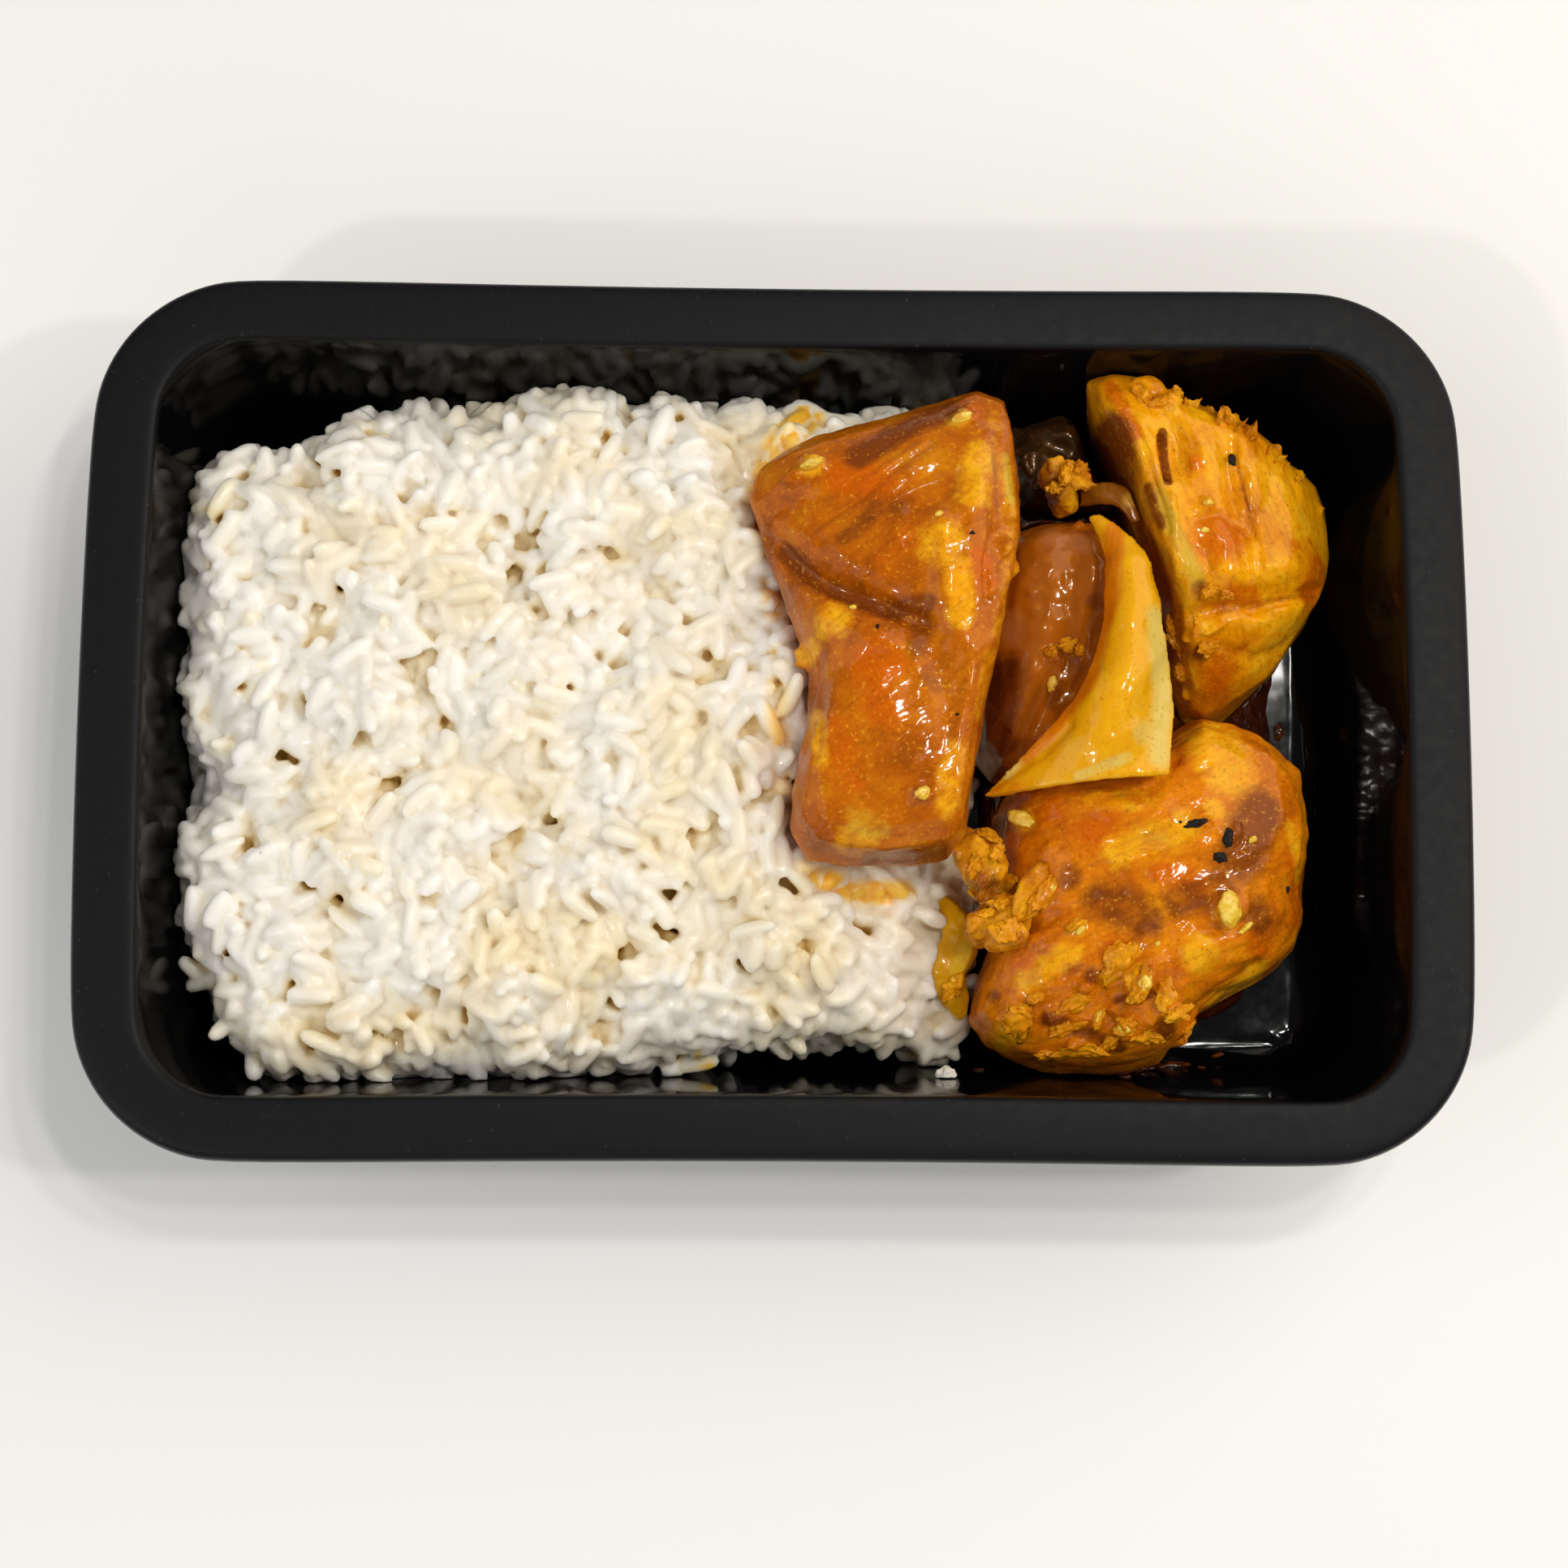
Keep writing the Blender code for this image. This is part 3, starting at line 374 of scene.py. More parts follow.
def set_shader(shader, **values):
    """Sets the shader's own sockets, and links to them what varies over the surface."""
    for name, value in values.items():
        socket = shader.inputs[name.replace("_", " ")]
        if isinstance(value, bpy.types.NodeSocket):
            shader.id_data.links.new(value, socket)
        else:
            socket.default_value = value


def black_polypropylene():
    """Vacuum-formed polypropylene: satin on the flange, polished by the mould inside, with fine scuffs.

    The gloss is mottled by 2.2 mm and the sheet uneven by 7 mm, as drawn sheet is. Scuffs are 0.7 mm wide and six
    millimetres long. Real dust is finer than the 0.8 mm drawn here, which is as fine as shows from the camera.
    """
    material, tree, shader = new_material("black_polypropylene")
    place = add(tree, PLACE, "Object", {})
    height = add(tree, "ShaderNodeSeparateXYZ", "Z", {"Vector": place})
    on_flange = add(tree, SPAN, "Result", {"Value": height, "From Min": 38.2 * MM, "From Max": 39.8 * MM})

    mottle = add(tree, NOISE, "Fac", {"Vector": place, "Scale": 1 / (2.2 * MM), "Detail": 4.0})
    satin = add(tree, SPAN, "Result",
                {"Value": mottle, "From Min": 0.3, "From Max": 0.7, "To Min": 0.46, "To Max": 0.54})
    polished = add(tree, SPAN, "Result",
                   {"Value": mottle, "From Min": 0.3, "From Max": 0.7, "To Min": 0.06, "To Max": 0.10})
    roughness = add(tree, MIX, 0, {0: on_flange, 2: polished, 3: satin}, data_type="FLOAT")

    scuff_place = add(tree, MAPPING, "Vector",
                      {"Vector": place, "Rotation": (0, 0, -math.radians(24)), "Scale": (9, 1, 1)},
                      vector_type="TEXTURE")
    lines = add(tree, NOISE, "Fac", {"Vector": scuff_place, "Scale": 1 / (0.7 * MM), "Detail": 5.0, "Roughness": 0.7})
    scuffs = add(tree, SPAN, "Result", {"Value": lines, "From Min": 0.70, "From Max": 0.80})
    handled = add(tree, NOISE, "Fac", {"Vector": place, "Scale": 1 / (26 * MM), "Detail": 3.0})
    where = add(tree, SPAN, "Result", {"Value": handled, "From Min": 0.52, "From Max": 0.66})
    scuffed = add(tree, MATH, 0, {0: scuffs, 1: where}, operation="MULTIPLY")
    fine = add(tree, NOISE, "Fac", {"Vector": place, "Scale": 1 / (0.8 * MM), "Detail": 2.0, "Roughness": 0.7})
    dust = add(tree, SPAN, "Result", {"Value": fine, "From Min": 0.68, "From Max": 0.76, "To Max": 0.6})
    dusty = add(tree, MATH, 0, {0: dust, 1: on_flange}, operation="MULTIPLY")

    colour = add(tree, MIX, 2, {0: on_flange, 6: "#070708", 7: "#0b0b0d"}, data_type="RGBA")
    colour = add(tree, MIX, 2, {0: scuffed, 6: colour, 7: "#4a4a50"}, data_type="RGBA")
    colour = add(tree, MIX, 2, {0: dusty, 6: colour, 7: "#3c3c42"}, data_type="RGBA")
    wave = add(tree, NOISE, "Fac", {"Vector": place, "Scale": 1 / (7 * MM), "Detail": 1.0})
    drawn = add(tree, BUMP, "Normal", {"Height": wave, "Distance": 0.10 * MM, "Strength": 0.6})
    set_shader(shader, Base_Color=colour, Roughness=roughness, Normal=drawn, IOR=1.49, Specular_IOR_Level=0.17)
    return material


def boiled_rice():
    """Steamed white rice: soft moist grains, milky and half clear, with warm shade painted into the hollows.

    The grains are the mesh's own. Their skins swell by 1.3 mm, under half a grain's width, and the heap is creamier
    in patches of 22 mm. The milky look is light that spreads 2.4 mm inside a grain.
    """
    material, tree, shader = new_material("boiled_rice")
    place = add(tree, PLACE, "Object", {})
    tint = add(tree, LAYER, "Fac", {}, attribute_name="tint")
    deep = add(tree, LAYER, "Fac", {}, attribute_name="deep")
    dyed = add(tree, LAYER, "Fac", {}, attribute_name="dyed")
    grain = add(tree, RAMP, "Color", {"Fac": tint},
                [(0.0, "#ebe5d8"), (0.4, "#f0ebe1"), (0.75, "#f3efe7"), (0.95, "#f1ead9"), (1.0, "#efe5cc")])
    broad = add(tree, NOISE, "Fac", {"Vector": place, "Scale": 1 / (22 * MM), "Detail": 3.0})
    patch = add(tree, SPAN, "Result", {"Value": broad, "From Min": 0.44, "From Max": 0.66, "To Max": 0.8})
    # Painted shade: the more of the sky a place has shut off by the grains round it, the warmer and darker it is
    # coloured.
    painted_hollow_shade = add(tree, SPAN, "Result", {"Value": deep, "From Min": 0.35, "From Max": 0.62, "To Max": 0.7})
    painted_deepest_shade = add(tree, SPAN, "Result", {"Value": deep, "From Min": 0.62, "From Max": 0.90, "To Max": 0.9})
    sauce = add(tree, RAMP, "Color", {"Fac": dyed}, [(0.0, "#f6dfa4"), (0.5, "#f4c558"), (1.0, "#f0ac20")])
    soaked = add(tree, SPAN, "Result", {"Value": dyed, "From Min": 0.05, "From Max": 0.55})
    colour = add(tree, MIX, 2, {0: patch, 6: grain, 7: "#ecdcb6"}, data_type="RGBA")
    # The painted shade in the hollows: warm beige, and deeper yellow brown where they are deepest.
    colour = add(tree, MIX, 2, {0: painted_hollow_shade, 6: colour, 7: "#e8d6a8"}, data_type="RGBA")
    colour = add(tree, MIX, 2, {0: painted_deepest_shade, 6: colour, 7: "#dcb964"}, data_type="RGBA")
    colour = add(tree, MIX, 2, {0: soaked, 6: colour, 7: sauce}, data_type="RGBA")
    soft = add(tree, NOISE, "Fac", {"Vector": place, "Scale": 1 / (1.3 * MM), "Detail": 3.0, "Roughness": 0.6})
    swell = add(tree, BUMP, "Normal", {"Height": soft, "Distance": 0.11 * MM, "Strength": 0.8})
    set_shader(shader, Base_Color=colour, Normal=swell, Roughness=0.34, IOR=1.36, Subsurface_Weight=1.0,
               Subsurface_Scale=2.4 * MM, Subsurface_Radius=(1.0, 1.0, 0.95), Coat_Weight=0.25, Coat_Roughness=0.08)
    return material


def curried_meat(name, fibre_turn, colours):
    """Stewed chicken dyed by turmeric, under a wet film of curry paste with fine grains in it.

    Muscle shows as bundles of fibre 0.9 mm apart. Ground spice is about 0.3 mm and is drawn as 0.7 mm, or it would
    not show. Painted sauce ends in rags of 2.6 mm. The film is the coat, and it pools by 2.6 mm: thin and shallow,
    so that it gives small white glints and no veil.
    """
    material, tree, shader = new_material(name)
    place = add(tree, PLACE, "Object", {})
    along = add(tree, MAPPING, "Vector",
                {"Vector": place, "Rotation": (0, 0, -math.radians(fibre_turn)), "Scale": (8, 1, 2)},
                vector_type="TEXTURE")
    broad = add(tree, NOISE, "Fac",
                {"Vector": place, "Scale": 1 / (9 * MM), "Detail": 4.0, "Roughness": 0.6, "Distortion": 0.4})
    fibres = add(tree, NOISE, "Fac", {"Vector": along, "Scale": 1 / (0.9 * MM), "Detail": 3.0})
    edge = add(tree, NOISE, "Fac", {"Vector": place, "Scale": 1 / (2.6 * MM), "Detail": 4.0, "Roughness": 0.65})
    paste = add(tree, NOISE, "Fac", {"Vector": place, "Scale": 1 / (0.7 * MM), "Detail": 2.0, "Roughness": 0.6})
    beads = add(tree, NOISE, "Fac", {"Vector": place, "Scale": 1 / (2.6 * MM), "Detail": 2.0, "Roughness": 0.4})

    colour = add(tree, RAMP, "Color", {"Fac": broad}, list(zip((0.30, 0.43, 0.56, 0.72), colours)))
    rich = add(tree, SPAN, "Result", {"Value": edge, "From Min": 0.4, "From Max": 0.7})
    gold = add(tree, MIX, 2, {0: rich, 6: "#e6980a", 7: "#f0b41c"}, data_type="RGBA")
    # The glaze layer is partly dark sauce glaze and partly painted shade: in creases, in the upper chunk's slot, on
    # its left face away from the light, and along the lower chunk's bottom edge.
    for layer, patch, start, end, most in (("ember", "#c85a02", 0.75, 1.35, 0.80), ("gold", gold, 0.75, 1.30, 0.95),
                                           ("pale", "#cba42a", 0.75, 1.30, 0.95),
                                           ("glaze_and_shade", "#74340c", 0.80, 1.40, 0.92)):
        painted = add(tree, LAYER, "Fac", {}, attribute_name=layer)
        torn = add(tree, MATH, 0, {0: painted, 1: edge}, operation="ADD")
        share = add(tree, SPAN, "Result", {"Value": torn, "From Min": start, "From Max": end, "To Max": most})
        colour = add(tree, MIX, 2, {0: share, 6: colour, 7: patch}, data_type="RGBA")
    for pattern, patch, start, end, most in ((fibres, "#8a4206", 0.50, 0.70, 0.30),
                                             (paste, "#7c3808", 0.58, 0.72, 0.45),
                                             (paste, "#efb028", 0.40, 0.28, 0.45)):
        share = add(tree, SPAN, "Result", {"Value": pattern, "From Min": start, "From Max": end, "To Max": most})
        colour = add(tree, MIX, 2, {0: share, 6: colour, 7: patch}, data_type="RGBA")

    rough = add(tree, BUMP, "Normal", {"Height": fibres, "Distance": 0.22 * MM, "Strength": 0.6})
    rough = add(tree, BUMP, "Normal", {"Height": paste, "Distance": 0.14 * MM, "Strength": 0.6, "Normal": rough})
    film = add(tree, BUMP, "Normal", {"Height": beads, "Distance": 0.06 * MM, "Strength": 1.0})
    set_shader(shader, Base_Color=colour, Normal=rough, Coat_Normal=film, Roughness=0.34, IOR=1.40,
               Specular_IOR_Level=0.5, Specular_Tint=linear("#ff9c20"), Subsurface_Weight=0.12,
               Subsurface_Scale=1.5 * MM, Subsurface_Radius=(1.0, 0.6, 0.2), Coat_Weight=0.32, Coat_Roughness=0.08,
               Coat_IOR=1.50)
    return material


def stewed_onion(name, flesh, clear, stained):
    """Onion stewed soft: half-clear flesh with long veins, stained by the sauce towards its rims.

    The veins fan out from the tip that mark_veins gives, 1 to 2 mm apart. Stains end in rags of 4 mm. Specks of spice
    are drawn 0.7 mm wide, coarser than they are, or they would not show. The wet film pools by 2.6 mm.
    """
    material, tree, shader = new_material(name)
    place = add(tree, PLACE, "Object", {})
    across = add(tree, LAYER, "Fac", {}, attribute_name="vein")
    along = add(tree, LAYER, "Fac", {}, attribute_name="along")
    fan = add(tree, "ShaderNodeCombineXYZ", 0, {"X": across, "Y": along})
    vein = add(tree, NOISE, "Fac", {"Vector": fan, "Scale": 1.0, "Detail": 2.0, "Roughness": 0.6})
    edge = add(tree, NOISE, "Fac", {"Vector": place, "Scale": 1 / (4 * MM), "Detail": 4.0, "Roughness": 0.6})
    speck = add(tree, NOISE, "Fac", {"Vector": place, "Scale": 1 / (0.7 * MM), "Detail": 2.0})
    beads = add(tree, NOISE, "Fac", {"Vector": place, "Scale": 1 / (2.6 * MM), "Detail": 2.0, "Roughness": 0.4})

    washed = add(tree, SPAN, "Result", {"Value": edge, "From Min": 0.4, "From Max": 0.75, "To Max": 0.25})
    colour = add(tree, MIX, 2, {0: washed, 6: flesh, 7: stained}, data_type="RGBA")
    for layer, patch, most in (("clear", clear, 0.90), ("stain", stained, 0.95)):
        painted = add(tree, LAYER, "Fac", {}, attribute_name=layer)
        torn = add(tree, MATH, 0, {0: painted, 1: edge}, operation="ADD")
        share = add(tree, SPAN, "Result", {"Value": torn, "From Min": 0.75, "From Max": 1.45, "To Max": most})
        colour = add(tree, MIX, 2, {0: share, 6: colour, 7: patch}, data_type="RGBA")
    for pattern, patch, start, end, most in ((vein, stained, 0.54, 0.70, 0.16),
                                             (vein, clear, 0.46, 0.30, 0.14),
                                             (speck, "#a8560a", 0.60, 0.72, 0.40)):
        share = add(tree, SPAN, "Result", {"Value": pattern, "From Min": start, "From Max": end, "To Max": most})
        colour = add(tree, MIX, 2, {0: share, 6: colour, 7: patch}, data_type="RGBA")

    ridge = add(tree, BUMP, "Normal", {"Height": vein, "Distance": 0.07 * MM, "Strength": 0.5})
    film = add(tree, BUMP, "Normal", {"Height": beads, "Distance": 0.06 * MM, "Strength": 1.0})
    set_shader(shader, Base_Color=colour, Normal=ridge, Coat_Normal=film, Roughness=0.30, IOR=1.38,
               Specular_IOR_Level=0.5, Specular_Tint=linear("#ffb030"), Subsurface_Weight=0.3,
               Subsurface_Scale=2.0 * MM, Subsurface_Radius=(1.0, 0.6, 0.15), Coat_Weight=0.45, Coat_Roughness=0.08,
               Coat_IOR=1.50)
    return material


def curry_gravy():
    """Oily onion gravy: dark red-brown where it is deep, orange where it is thin, and wet all over.

    Deep and thin places alternate by 6 mm, and the onion mashed into it makes it lumpy by 2.2 mm.
    """
    material, tree, shader = new_material("curry_gravy")
    place = add(tree, PLACE, "Object", {})
    broad = add(tree, NOISE, "Fac", {"Vector": place, "Scale": 1 / (6 * MM), "Detail": 4.0, "Roughness": 0.6})
    colour = add(tree, RAMP, "Color", {"Fac": broad},
                 [(0.32, "#2c0e03"), (0.52, "#4a1a05"), (0.68, "#6e2e08"), (0.82, "#a4560e")])
    lumps = add(tree, NOISE, "Fac", {"Vector": place, "Scale": 1 / (2.2 * MM), "Detail": 4.0, "Roughness": 0.6})
    uneven = add(tree, BUMP, "Normal", {"Height": lumps, "Distance": 0.7 * MM, "Strength": 0.8})
    set_shader(shader, Base_Color=colour, Normal=uneven, Roughness=0.18, IOR=1.42, Subsurface_Weight=0.2,
               Subsurface_Scale=1.5 * MM, Subsurface_Radius=(1.0, 0.35, 0.1), Coat_Weight=1.0, Coat_Roughness=0.04)
    return material


# ---- tray ------------------------------------------------------------------------------------------------


def make_tray():
    """The solid's shell with its quads back and its corners rounded once more."""
    piece = copy_of("tray", "tray_piece")
    take(piece)
    bpy.ops.object.mode_set(mode="EDIT")
    bpy.ops.mesh.select_all(action="SELECT")
    bpy.ops.mesh.tris_convert_to_quads(face_threshold=math.radians(30), shape_threshold=math.radians(60))
    bpy.ops.object.mode_set(mode="OBJECT")
    finish_with(piece, "SUBSURF", levels=2, render_levels=2)
    wear(piece, black_polypropylene(), "black_plastic", "tray")
    return piece


# ---- rice ------------------------------------------------------------------------------------------------


def top_heights(piece, xs, ys, missing):
    """The height of a piece's top over a grid of places."""
    surface = surface_of(piece)
    heights = np.full((len(xs), len(ys)), missing)
    for i, x in enumerate(xs):
        for j, y in enumerate(ys):
            place = surface.ray_cast(Vector((x, y, 0.1)), Vector((0, 0, -1)))[0]
            if place:
                heights[i, j] = place.z
    return heights


def blurred(heights, cells):
    """A height map with each place the mean of the square round it."""
    padded = np.pad(heights, cells, mode="edge")
    total = np.cumsum(np.cumsum(padded, axis=0), axis=1)
    total = np.pad(total, ((1, 0), (1, 0)))
    wide = 2 * cells + 1
    return (total[wide:, wide:] - total[:-wide, wide:] - total[wide:, :-wide] + total[:-wide, :-wide]) / wide ** 2


def grain_form():
    """The points and faces of one grain of unit size: 8 sides, plump up to its blunt ends."""
    deselect()
    bpy.ops.mesh.primitive_uv_sphere_add(segments=8, ring_count=6, radius=0.5)
    grain = bpy.context.object
    places = vertex_places(grain)
    faces = [list(face.vertices) for face in grain.data.polygons]
    bpy.data.objects.remove(grain, do_unlink=True)
    places = places[:, [2, 0, 1]]
    along = places[:, 0] * 2
    round_ = np.hypot(places[:, 1], places[:, 2]) * 2
    plump = np.sqrt(np.clip(1 - np.abs(along) ** 3.4, 0, 1))
    places[:, 1:] *= (np.where(round_ > 1e-6, plump / np.maximum(round_, 1e-6), 1) * (1 - 0.08 * along))[:, None]
    return places, faces


def grain_size(draw):
    """Whole grains, and one in three short, as broken ones are."""
    length = GRAIN_LENGTH * (draw.uniform(0.55, 0.8) if draw.random() < 0.33 else draw.uniform(0.85, 1.15))
    return np.array([length, GRAIN_WIDTH * draw.uniform(0.86, 1.12), GRAIN_HEIGHT * draw.uniform(0.88, 1.12)])


def clump_height(x, y):
    """How far the heap's top swells into sticky clumps, and sinks into the clefts between them."""
    place = Vector((x, y, 0.0)) / CLUMP_SIZE
    place += 0.35 * Vector([noise.noise(place * 2.3 + Vector((shift, 0, 0))) for shift in (0, 31, 67)])
    gaps, _points = noise.voronoi(place)
    cleft = math.exp(-(((gaps[1] - gaps[0]) / 0.17) ** 2))
    open_here = max(0.0, min(1.0, 0.50 + 2.2 * noise.noise(place * 0.9 + Vector((7, 3, 0)))))
    wave = noise.noise(Vector((x, y, 0.05)) / (24 * MM))
    return (5.0 * (0.40 - gaps[0]) - 4.2 * cleft * open_here + 2.2 * wave - 0.3) * MM


def ground_slope(ground, i, j, length, yaw):
    """The slope of what a grain of this length and direction comes to lie on."""
    step = 0.33 * length / HEAP_CELL
    ahead = ground[int(i + step * math.cos(yaw)), int(j + step * math.sin(yaw))]
    behind = ground[int(i - step * math.cos(yaw)), int(j - step * math.sin(yaw))]
    return math.atan2(ahead - behind, 0.66 * length)


def grain_over(size, yaw, pitch, dx, dy):
    """What a grain covers round its middle: how far its axis rises there, half its thickness, and where it is."""
    u = dx * math.cos(yaw) + dy * math.sin(yaw)
    v = -dx * math.sin(yaw) + dy * math.cos(yaw)
    left = 1 - (u / (0.5 * size[0] * math.cos(pitch) + 0.2 * MM)) ** 2 - (v / (0.5 * size[1])) ** 2
    inside = left > 0
    half = 0.5 * size[2] * np.sqrt(np.where(inside, left, 0)) / math.cos(pitch)
    return u * math.tan(pitch), half, inside


def lay_heap(target_piece, draw):
    """Lays grains over the heap's top, each next one where the least lies yet, sunk into those below it.

    Most grains lie as their neighbours do, and of six ways to lie each takes the lowest. One in ten stands up.
    """
    low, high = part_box("rice")
    xs = np.arange(low[0] - 3 * MM, high[0] + 3 * MM, HEAP_CELL)
    ys = np.arange(low[1] - 3 * MM, high[1] + 3 * MM, HEAP_CELL)
    target = top_heights(target_piece, xs, ys, 0.0)
    solid = target > 5 * MM
    clump = np.array([[clump_height(x, y) for y in ys] for x in xs])
    target = np.where(solid, np.minimum(blurred(target, 4) + clump, HEAP_TOP), 0.0)
    ground = np.where(solid, target - CORE_DEPTH, 0.0)
    rim = ground.copy()
    reach = int(6 * MM / HEAP_CELL)
    offsets = np.arange(-reach, reach + 1) * HEAP_CELL
    dx, dy = np.meshgrid(offsets, offsets, indexing="ij")
    grains, misses = [], 0
    while len(grains) < TOP_GRAINS + LOOSE_GRAINS:
        loose = len(grains) >= TOP_GRAINS or misses > MOST_MISSES
        spots = [(draw.randrange(reach, len(xs) - reach - 1), draw.randrange(reach, len(ys) - reach - 1))
                 for _ in range(2 if loose else 12)]
        i, j = max(spots, key=lambda spot: (target[spot] - ground[spot]) if solid[spot] else -1)
        if not solid[i, j] or (not loose and target[i, j] - ground[i, j] < LEAST_ROOM):
            misses += 1
            continue
        misses = misses if loose else 0
        window = ground[i - reach:i + reach + 1, j - reach:j + reach + 1]
        size = grain_size(draw)
        upright = draw.random() < 0.10
        best = None
        lie = 2.2 * math.tau * noise.noise(Vector((xs[i], ys[j], 0.03)) / LIE_SIZE)
        for guess in range(6):
            yaw = lie + draw.gauss(0, 0.45) if guess < 4 else draw.uniform(0, math.tau)
            pitch = ground_slope(ground, i, j, size[0], yaw) * draw.uniform(0.5, 1.0) + draw.gauss(0, 0.22)
            if upright:
                pitch = draw.choice((-1, 1)) * draw.uniform(0.6, 1.2)
            pitch = max(-1.2, min(1.2, pitch))
            rise, half, inside = grain_over(size, yaw, pitch, dx, dy)
            rest = np.where(inside, window - rise + half, -1).max()
            if best is None or rest < best[0]:
                best = (rest, yaw, pitch, rise, half, inside)
        rest, yaw, pitch, rise, half, inside = best
        most = draw.uniform(0.4, 1.8) if loose else -draw.uniform(0.2, 0.9)
        rest = min(rest - GRAIN_SINK, target[i, j] + most * MM)
        np.maximum(window, np.where(inside, rest + rise + half, 0), out=window)
        grains.append((np.array([xs[i], ys[j], rest]), yaw, -pitch, draw.uniform(0, math.tau), size))
    return grains, xs, ys, rim


def lay_sides(core, draw):
    """Grains that cling to the heap's steep sides."""
    faces = [face for face in core.data.polygons if face.normal.z < 0.8 and 2.5 * MM < face.center.z < 35 * MM]
    areas = [face.area for face in faces]
    grains = []
    for face in draw.choices(faces, areas, k=SIDE_GRAINS):
        outward = face.normal.normalized()
        spread = Vector([draw.uniform(-1, 1) for _ in range(3)])
        proud = draw.random() < 0.18
        along = (spread - spread.dot(outward) * outward * draw.uniform(0.3, 1.0) * (not proud)).normalized()
        place = face.center + outward * (draw.uniform(1.2, 3.2) if proud else draw.uniform(-0.2, 1.2)) * MM
        turns = math.atan2(along.y, along.x), -math.asin(max(-1, min(1, along.z)))
        grains.append((np.array(place), *turns, draw.uniform(0, math.tau), grain_size(draw)))
    return grains


def grains_mesh(name, grains, draw):
    """Joins grains into one mesh, each with a little bend of its own."""
    form, faces = grain_form()
    count = len(form)
    points = np.empty((len(grains) * count, 3))
    for index, (place, yaw, pitch, roll, size) in enumerate(grains):
        shaped = form * size
        shaped[:, 2] -= GRAIN_BEND * draw.uniform(-1, 1.6) * (4 * form[:, 0] ** 2 - 0.33)
        turn = np.array(Euler((roll, pitch, yaw)).to_matrix())
        points[index * count:(index + 1) * count] = shaped @ turn.T + place
    mesh = bpy.data.meshes.new(name)
    mesh.from_pydata(points.tolist(), [],
                     [[k + n * count for k in face] for n in range(len(grains)) for face in faces])
    piece = bpy.data.objects.new(name, mesh)
    bpy.context.scene.collection.objects.link(piece)
    return piece


def closed_in(piece, reach):
    """How much of the sky over each place on a piece is shut off by the piece itself, from 0 to 1."""
    surface = surface_of(piece)
    count = 9
    looks = []
    for index in range(count):
        tilt, turn = math.asin(math.sqrt((index + 0.5) / count)), index * 2.4
        looks.append((math.sin(tilt) * math.cos(turn), math.sin(tilt) * math.sin(turn), math.cos(tilt)))
    shut = np.zeros(len(piece.data.vertices))
    for index, vertex in enumerate(piece.data.vertices):
        out = vertex.normal
        side = out.orthogonal().normalized()
        other = out.cross(side)
        start = vertex.co + out * (0.2 * MM)
        for a, b, c in looks:
            if surface.ray_cast(start, side * a + other * b + out * c, reach)[0] is not None:
                shut[index] += 1 / count
    ends = np.empty(2 * len(piece.data.edges), dtype=int)
    piece.data.edges.foreach_get("vertices", ends)
    first, second = ends.reshape(-1, 2).T
    links = np.bincount(ends, minlength=len(shut)) + 1
    for _ in range(3):
        total = np.bincount(first, shut[second], len(shut)) + np.bincount(second, shut[first], len(shut))
        shut = (shut + total) / links
    return shut


def mark_rice(piece, grains, draw):
    """Marks on the rice each grain's own tint, how shut in by the heap a place lies, which the material paints as
    shade, and how far the sauce has dyed it.
    """
    tree = KDTree(3 * len(grains))
    for index, (place, yaw, pitch, _roll, size) in enumerate(grains):
        along = Vector(np.array(Euler((0, pitch, yaw)).to_matrix())[:, 0]) * (0.3 * size[0])
        for k in (-1, 0, 1):
            tree.insert(Vector(place) + along * k, index)
    tree.balance()
    tint_of, dye_of = [draw.random() for _ in grains], [draw.uniform(0.15, 1.0) for _ in grains]
    places = vertex_places(piece)
    nearest = [tree.find(place)[1] for place in places]
    dyed = np.zeros(len(places))
    for route, wide, strength in DYED_ROUTES:
        gap = distance_to_route(places, route) / (wide * MM)
        dyed = np.maximum(dyed, strength * np.clip(1.15 - gap ** 1.5, 0, 1))
    mark(piece, "tint", [tint_of[k] for k in nearest])
    # The deep layer holds how much of the sky each place has shut off, and the rice material paints it as shade.
    mark(piece, "deep", closed_in(piece, HOLLOW_REACH))
    mark(piece, "dyed", dyed * [dye_of[k] for k in nearest])


# Where the sauce has run into the rice: a route in millimetres, its half width and its strength.
DYED_ROUTES = [
    ([(4.5, 51.0), (0.1, 44.3), (-2.0, 37.0)], 3.8, 1.0), ([(-2.5, 30.0), (-0.5, 18.1)], 2.6, 0.55),
    ([(0.0, 10.0), (0.0, 0.0), (1.3, -14.5)], 2.6, 0.5), ([(4.5, -24.0), (12.0, -26.8), (21.0, -26.2)], 2.4, 0.9),
    ([(-93.7, 35.0), (-91.0, 33.0)], 2.0, 0.4), ([(-12.0, -53.0), (-10.0, -55.0)], 1.6, 0.6),
]


